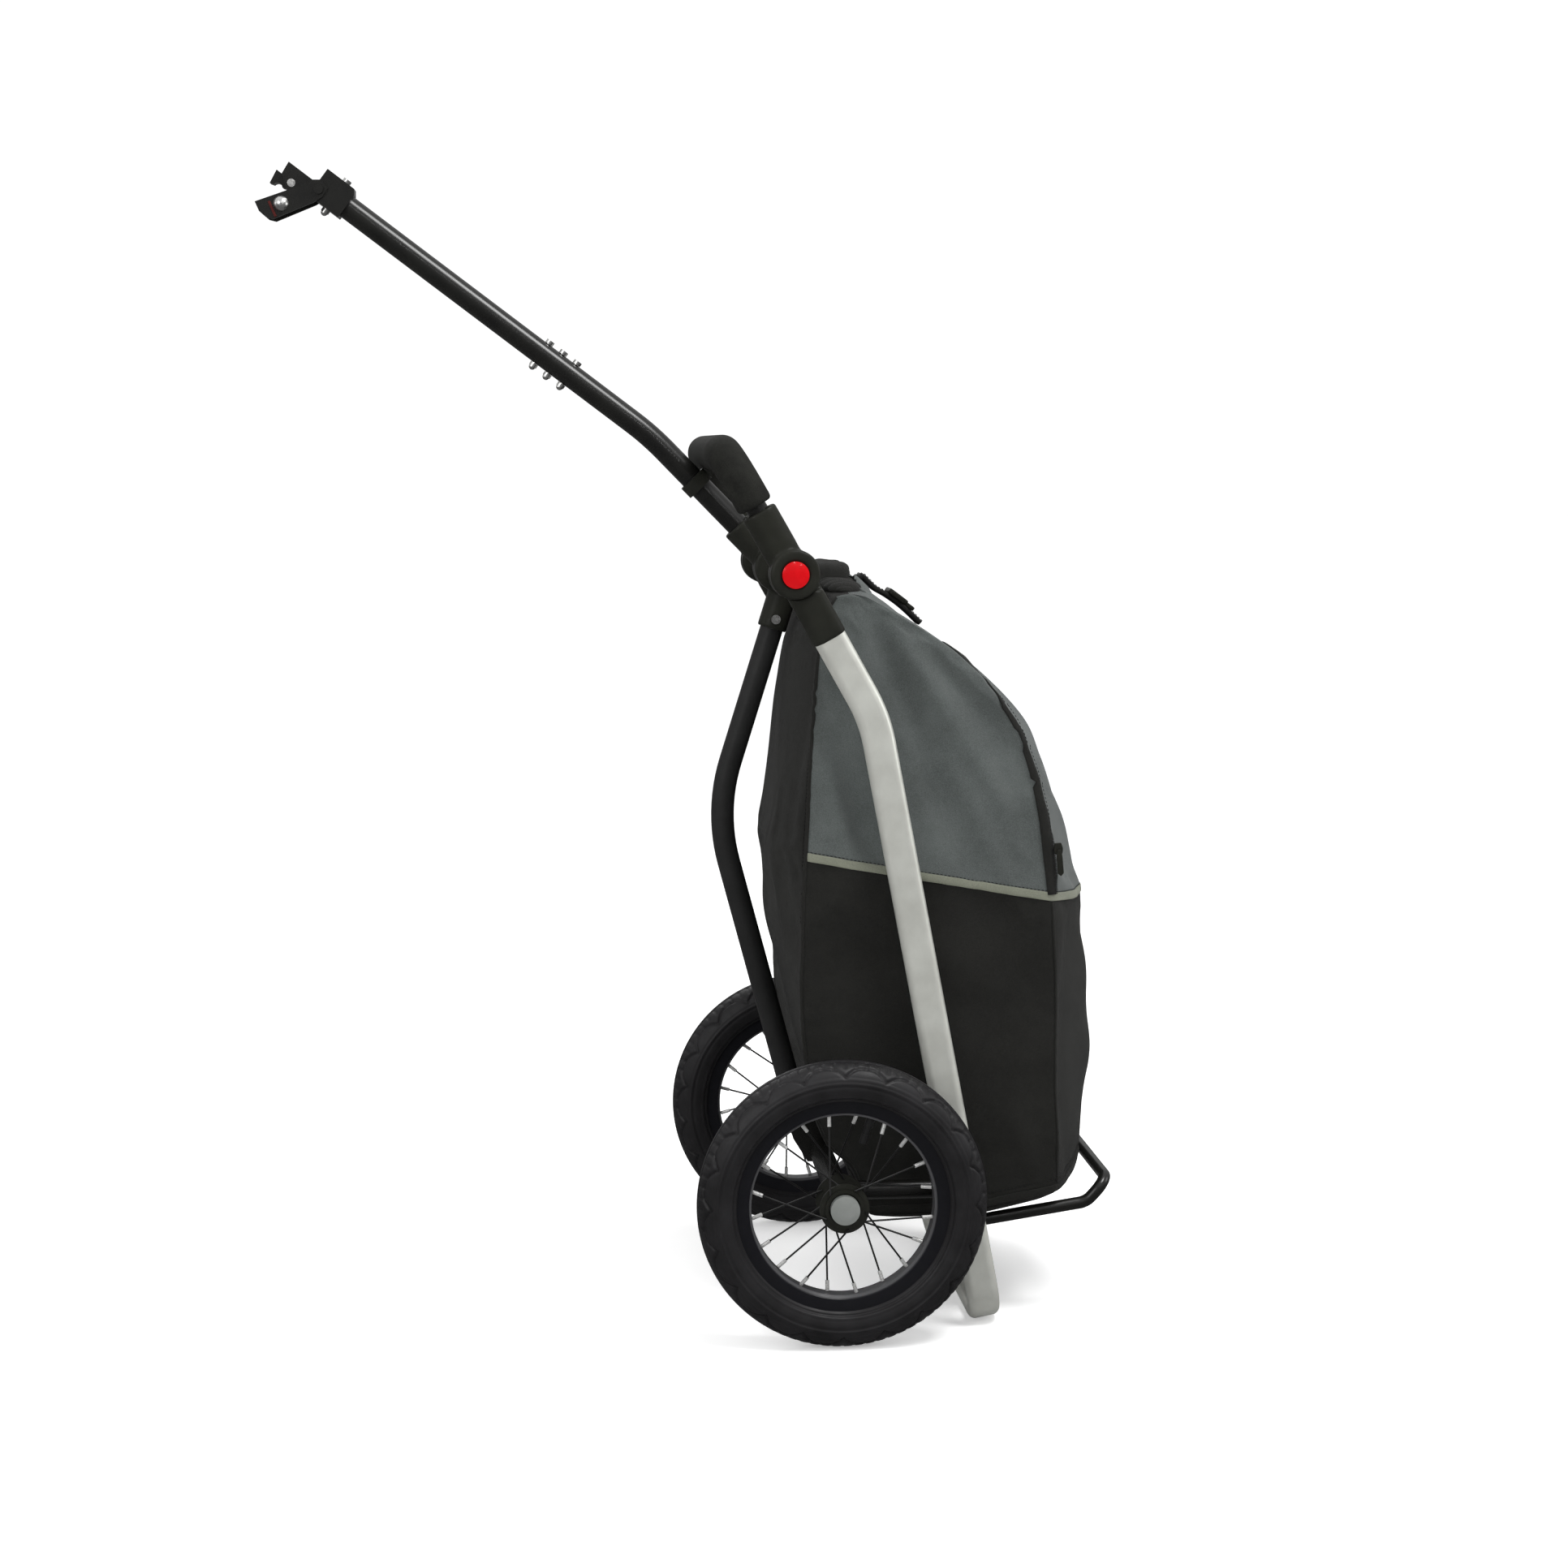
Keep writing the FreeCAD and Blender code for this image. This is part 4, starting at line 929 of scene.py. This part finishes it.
def stitches(name, points, normals, offset, skin=None):
    """A row of stitches at an offset in mm beside a line; given a skin's tree, they lie on that skin."""
    verts, faces = [], []
    travelled, due = 0.0, 1.0
    for a, b, n in zip(points, points[1:], normals):
        run = (b - a).length / MM
        along = (b - a).normalized()
        side = n.cross(along).normalized()
        while due <= travelled + run and run > 1e-6:
            spot = a + along * ((due - travelled) * MM) + side * (offset * MM)
            if skin:
                spot = skin.find_nearest(spot)[0]
            spot += n * 0.25 * MM
            base = len(verts)
            for t, swell in ((-0.5, 0.35), (-0.25, 1.0), (0.25, 1.0), (0.5, 0.35)):
                sink = -0.35 * MM if abs(t) == 0.5 else 0.0
                for k in range(6):
                    angle = math.pi * k / 3
                    out = side * math.cos(angle) + n * math.sin(angle)
                    verts.append(spot + along * (t * STITCH_LENGTH * MM) + n * sink
                                 + out * (STITCH_GIRTH / 2 * swell * MM))
            faces += [tuple(base + v for v in face) for face in grid_faces(4, 6, close_columns=True)]
            faces.append(tuple(base + k for k in reversed(range(6))))
            faces.append(tuple(base + 18 + k for k in range(6)))
            due += STITCH_PITCH
        travelled += run
    row = mesh_object(name, verts, faces)
    face_outward(row)
    dress(row, "thread_black")


def bag_seams():
    """Columns and rows of the bag's grid that carry its seams."""
    columns = bag_columns()
    half_back = BACK_COLUMNS // 2
    seam_row = BASE_ROWS + LOWER_ROWS
    return {
        "back": {"left": half_back, "right": columns - half_back},
        "front": {"left": half_back + SIDE_COLUMNS, "right": columns - half_back - SIDE_COLUMNS},
        "seam": seam_row,
        "top": seam_row + UPPER_ROWS,
        "middle": columns // 2,
    }


def make_piping(grid, skin):
    """Pale reflective piping between the two fabrics, its stitches, and a tack near each front corner."""
    seams = bag_seams()
    cells = [(seams["seam"], j) for j in range(seams["back"]["left"], seams["back"]["right"] + 1)]
    line = skin_line(grid, skin, cells)
    piping = band("reflective_piping", *line, 9.0 * MM, 1.8 * MM, 0.5 * MM, skin=skin)
    dress(piping, "piping_grey")
    stitches("piping_stitches", *line, 5.4, skin)
    for side, step in (("left", 22), ("right", -22)):
        cells = [(seams["seam"] + k * 0.35, seams["front"][side] - step) for k in (-1.3, -0.4, 0.4, 1.3)]
        mark = band(side + "_piping_tack", *skin_line(grid, skin, cells), 1.3 * MM, 0.9 * MM, 1.7 * MM)
        dress(mark, "thread_black")


def zip_cells(side):
    """The zip's line: up the front corner of the bag and over the front as one arch."""
    seams = bag_seams()
    corner = seams["front"][side]
    inward = 1 if side == "left" else -1
    half_front = FRONT_COLUMNS // 2
    rise = seams["top"] - seams["seam"]
    foot = seams["seam"] + 0.4
    cells = [(foot + rise * 0.6 * k / 40, corner) for k in range(41)]
    for k in range(1, 31):
        turn = math.pi / 2 * k / 30
        cells.append((foot + rise * (0.6 + 0.2 * math.sin(turn)),
                      corner + inward * half_front * (1 - math.cos(turn))))
    return cells


# the slider's place along the zip's line
SLIDER_STEP = 10
TOOTH_PITCH = 1.9
TOOTH_CORNERS = [(a, b, c) for c in (-1, 1) for a, b in ((-1, -1), (1, -1), (1, 1), (-1, 1))]
TOOTH_FACES = ((0, 3, 2, 1), (4, 5, 6, 7), (0, 1, 5, 4), (1, 2, 6, 5), (2, 3, 7, 6), (3, 0, 4, 7))


def make_zip(grid, skin):
    """Black rain flap over an arched zip, its coil beside it, and a slider with a pull at the lower end; the
    flap's swell low on each corner is painted shade.
    """
    cells = zip_cells("left") + zip_cells("right")[::-1][1:]
    points, directions = skin_line(grid, skin, cells)

    # the flap is real black fabric; its swell low on each corner is painted shade from the side panel's bulge
    def flap_and_shade_width(t):
        crest = 1 - abs(2 * t - 1)
        return (9.0 + 7.0 * bump_at(crest, 0.22, 0.3) + 7.0 * smoothstep(0.7, 1.0, crest)) * MM

    flap = band("zip_flap", points, directions, flap_and_shade_width, 2.6 * MM, 1.0 * MM, sides=20, skin=skin)
    dress(flap, "fabric_black")
    face_of_flap = [p + d * 2.3 * MM for p, d in zip(points, directions)]
    stitches("zip_flap_stitches", face_of_flap, directions, -3.2)

    teeth_points, teeth_faces = [], []
    due, travelled = 0.0, 0.0
    for k in range(len(points) - 1):
        run = (points[k + 1] - points[k]).length
        along = (points[k + 1] - points[k]).normalized()
        n = directions[k]
        side = n.cross(along).normalized()
        offset = -(flap_and_shade_width(k / (len(points) - 1)) / 2 + 2.2 * MM)
        while due <= travelled + run:
            beside = points[k] + along * (due - travelled) + side * offset
            centre = skin.find_nearest(beside)[0] + n * 0.6 * MM
            base = len(teeth_points)
            for a, b, c in TOOTH_CORNERS:
                narrow = 0.7 if c > 0 else 1.0
                teeth_points.append(centre + along * (a * 0.55 * MM * narrow) + side * (b * 2.2 * MM * narrow)
                                    + n * (c * 0.7 * MM))
            teeth_faces += [tuple(base + v for v in face) for face in TOOTH_FACES]
            due += TOOTH_PITCH * MM
        travelled += run
    coil = mesh_object("zip_coil", teeth_points, teeth_faces, smooth=False)
    dress(coil, "thread_black")

    n = directions[SLIDER_STEP]
    along = (points[SLIDER_STEP + 1] - points[SLIDER_STEP]).normalized()
    side = n.cross(along).normalized()
    origin = points[SLIDER_STEP] - side * (flap_and_shade_width(0.04) / 2 + 2.2 * MM) + n * 1.3 * MM
    body = [(-4, -6), (4, -6), (5, 0), (3.4, 6), (-3.4, 6), (-5, 0)]
    slider = outline_block("zip_slider", body, origin, side, along, n, 3.4, 0.8)
    dress(slider, "black_plastic")
    tag = [(-1.6, -1), (1.6, -1), (3.2, -8), (3.2, -26), (0, -29), (-3.2, -26), (-3.2, -8)]
    pull = outline_block("zip_pull", tag, origin + n * 3.6 * MM, side, along, n, 1.8, 0.6)
    dress(pull, "black_plastic")


def make_bindings(grid, skin):
    """Taped seams up the bag's corners and round its base, with their stitches."""
    columns = bag_columns()
    seams = bag_seams()
    first = BASE_ROWS + 2

    def tape(name, cells, width, thickness, lift, closed=False):
        line = skin_line(grid, skin, cells)
        piece = band(name, *line, width * MM, thickness * MM, lift * MM, closed=closed, skin=skin)
        dress(piece, "fabric_black")
        return line

    for side, out in (("left", 4.0), ("right", -4.0)):
        cells = [(i, seams["back"][side]) for i in range(first, seams["top"] + 1)]
        line = tape(side + "_back_seam", cells, 4.0, 2.2, 0.6)
        stitches(side + "_back_stitches", *line, out, skin)
        cells = [(i, seams["front"][side]) for i in range(first, seams["seam"])]
        tape(side + "_front_seam", cells, 3.2, 1.8, 0.5)
    tape("base_binding", [(BASE_ROWS + 1, j) for j in range(columns)], 8.0, 2.4, 0.6, closed=True)
    line = skin_line(grid, skin, [(BASE_ROWS + 2.6, j) for j in range(columns)])
    stitches("base_stitches", *line, 0.0, skin)


def make_gathered_mouth():
    """The mouth drawn together: soft fabric in pleats that run across the bag under the handle."""
    stations, sides, reach = 300, 36, 124.0
    rings = []
    for i in range(stations + 1):
        t = 2 * i / stations - 1
        y = reach * t
        full = max(0.05, 1 - abs(t) ** 7) ** 0.5
        sway = 1.5 * math.sin(0.045 * y + 1)
        ring = []
        for k, (u, v) in enumerate(superellipse(sides, 44.0, 21.0, 0.85)):
            angle = 2 * math.pi * k / sides
            drift = 1.1 * math.sin(0.05 * y) + 0.7 * math.sin(angle + 0.03 * y)
            pleat = abs(math.sin(math.pi * y / 17 + drift))
            crumple = noise.noise(Vector((0.06 * y, math.cos(angle), math.sin(angle))))
            puff = full * (0.9 + 0.13 * pleat ** 0.7 + 0.10 * crumple)
            ring.append(at(11.0 + sway + u * puff, 774.5 - 2.5 * abs(t) ** 3 + v * puff, y))
        rings.append(ring)
    mouth = loft("gathered_mouth", rings)
    dress(mouth, "fabric_black")


def make_carry_handle():
    """Padded handle of folded fabric over the bag's mouth; its ends turn down into the gathers."""
    span, low_z, high_z = 66.0, 776.0, 792.5
    steps, sides = 90, 40
    rings = []
    for i in range(steps + 1):
        t = 2 * i / steps - 1
        y = span * t
        drop = smoothstep(0.68, 1.0, abs(t))
        z = high_z + (low_z - high_z) * drop - 1.2 * (1 - t * t)
        slope = math.copysign(drop * (1 - drop) * 3.2, -t)
        up = Vector((0, -slope, 1)).normalized()
        puff = 1.0 - 0.22 * drop + 0.03 * math.sin(21 * t) + 0.02 * math.sin(47 * t + 1)
        ring = []
        for u, v in superellipse(sides, 40.0, 16.0, 0.78):
            crumple = noise.noise(Vector((0.05 * u, 0.08 * y, v * 0.1)))
            crease = 0.5 * math.sin(0.3 * u + 4 * t) + 0.9 * crumple
            seam = -1.2 * bump_at(u, -7.0, 2.2) if v > 0 else 0.0
            ring.append(at(5.0 + u * puff, z, y) + up * ((v * puff + crease + seam) * MM))
        rings.append(ring)
    handle = loft("padded_handle", rings)
    subdivided(handle)
    dress(handle, "fabric_black", replaced=["carry_strap"])


def make_mouth_hem():
    """Grey hem of the front panel that stands up before the gathered mouth."""
    stations, reach = 60, 112.0
    rings = []
    for i in range(stations + 1):
        y = reach * (2 * i / stations - 1)
        wave = 1.2 * math.sin(y * 0.09) + 0.8 * math.sin(y * 0.21 + 1)
        wave -= 7.0 * smoothstep(0.75 * reach, reach, abs(y))
        taper = max(0.02, 1 - abs(2 * i / stations - 1) ** 14) ** 0.5
        ring = []
        for u, v in superellipse(16, 23.0 * taper, 3.4, 0.7):
            ring.append(at(36.0 + 0.72 * u + 0.69 * v + wave * 0.5, 776.5 - 0.69 * u + 0.72 * v + wave, y))
        rings.append(ring)
    hem = loft("mouth_hem", rings)
    dress(hem, "fabric_grey")


# distance along, x and z of the upper face of the strap that closes the mouth, in mm
STRAP_FACE = (
    (0, 29.0, 775.0),
    (9, 35.0, 782.0),
    (18, 43.0, 786.0),
    (29, 51.0, 779.5),
    (38, 58.0, 773.0),
    (53, 71.0, 765.5),
    (68, 83.5, 757.0),
    (83, 95.0, 747.5),
    (101, 108.0, 735.0),
)
STRAP_WIDE = 36.0
STRAP_THICK = 6.0
# the buckle's place among the strap's 61 points
BUCKLE_STEP = 40


def make_closing_strap():
    """Doubled webbing strap with a side-release buckle that closes the mouth over the front panel."""
    path, aim = [], []
    reach = STRAP_FACE[-1][0]
    for k in range(61):
        t = reach * k / 60
        x, z = hermite(STRAP_FACE, t, 1), hermite(STRAP_FACE, t, 2)
        dx = hermite(STRAP_FACE, min(reach, t + 1), 1) - hermite(STRAP_FACE, max(0, t - 1), 1)
        dz = hermite(STRAP_FACE, min(reach, t + 1), 2) - hermite(STRAP_FACE, max(0, t - 1), 2)
        path.append(at(x, z))
        aim.append(Vector((-dz, 0, dx)).normalized())
    strap = band("closing_strap", path, aim, STRAP_WIDE * MM, STRAP_THICK * MM, -STRAP_THICK / 2 * MM,
                 crown=0.4, sides=20)
    dress(strap, "webbing_black")
    for side, sign in (("left", -1), ("right", 1)):
        stitches(side + "_strap_stitches", path[4:], aim[4:], sign * (STRAP_WIDE / 2 - 4))
    n = aim[BUCKLE_STEP]
    along = (path[BUCKLE_STEP + 1] - path[BUCKLE_STEP - 1]).normalized()
    side = n.cross(along).normalized()
    origin = path[BUCKLE_STEP] - n * 1.0 * MM
    socket_outline = [(-20, -13), (-17, -16), (17, -16), (20, -13), (20, 4), (16, 9), (-16, 9), (-20, 4)]
    socket = outline_block("buckle_socket", socket_outline, origin, side, along, n, 6.0, 1.6)
    dress(socket, "black_plastic")
    plug_outline = [(-15, 7), (15, 7), (18.5, 12), (18.5, 17), (13, 19), (-13, 19), (-18.5, 17), (-18.5, 12)]
    plug = outline_block("buckle_plug", plug_outline, origin, side, along, n, 4.4, 1.2)
    dress(plug, "black_plastic")


# x and z of the tabs that hold the hooks to the bag's back, in mm, from the hook down
TAB_LINE = (
    (-30, 782), (-27.5, 777.5), (-25, 773), (-22, 765), (-21.5, 757), (-23, 748), (-25, 738), (-27, 727),
)
TAB_Y = 112.0


def make_hook_tabs():
    """Webbing tabs, folded round the tongues of the hooks and sewn to the bag's back."""
    for side, sign in (("left", -1), ("right", 1)):
        path = [at(x, z, sign * TAB_Y) for x, z in TAB_LINE]
        aim = [Vector((-1, 0, -0.5 if k < 3 else 0.0)) for k in range(len(path))]
        tab = band(side + "_hook_tab", path, aim, 27.0 * MM, 8.0 * MM, 0.0, crown=0.35, sides=24)
        subdivided(tab)
        dress(tab, "webbing_black")


make_camera()
make_studio()
materials = make_materials()
paint_frame()
for side in ("left", "right"):
    make_tyre(side)
make_moulded_parts()
make_jaw_stripe()
bag_points, bag_skin = make_bag()
make_piping(bag_points, bag_skin)
make_zip(bag_points, bag_skin)
make_bindings(bag_points, bag_skin)
make_gathered_mouth()
make_carry_handle()
make_mouth_hem()
make_closing_strap()
make_hook_tabs()
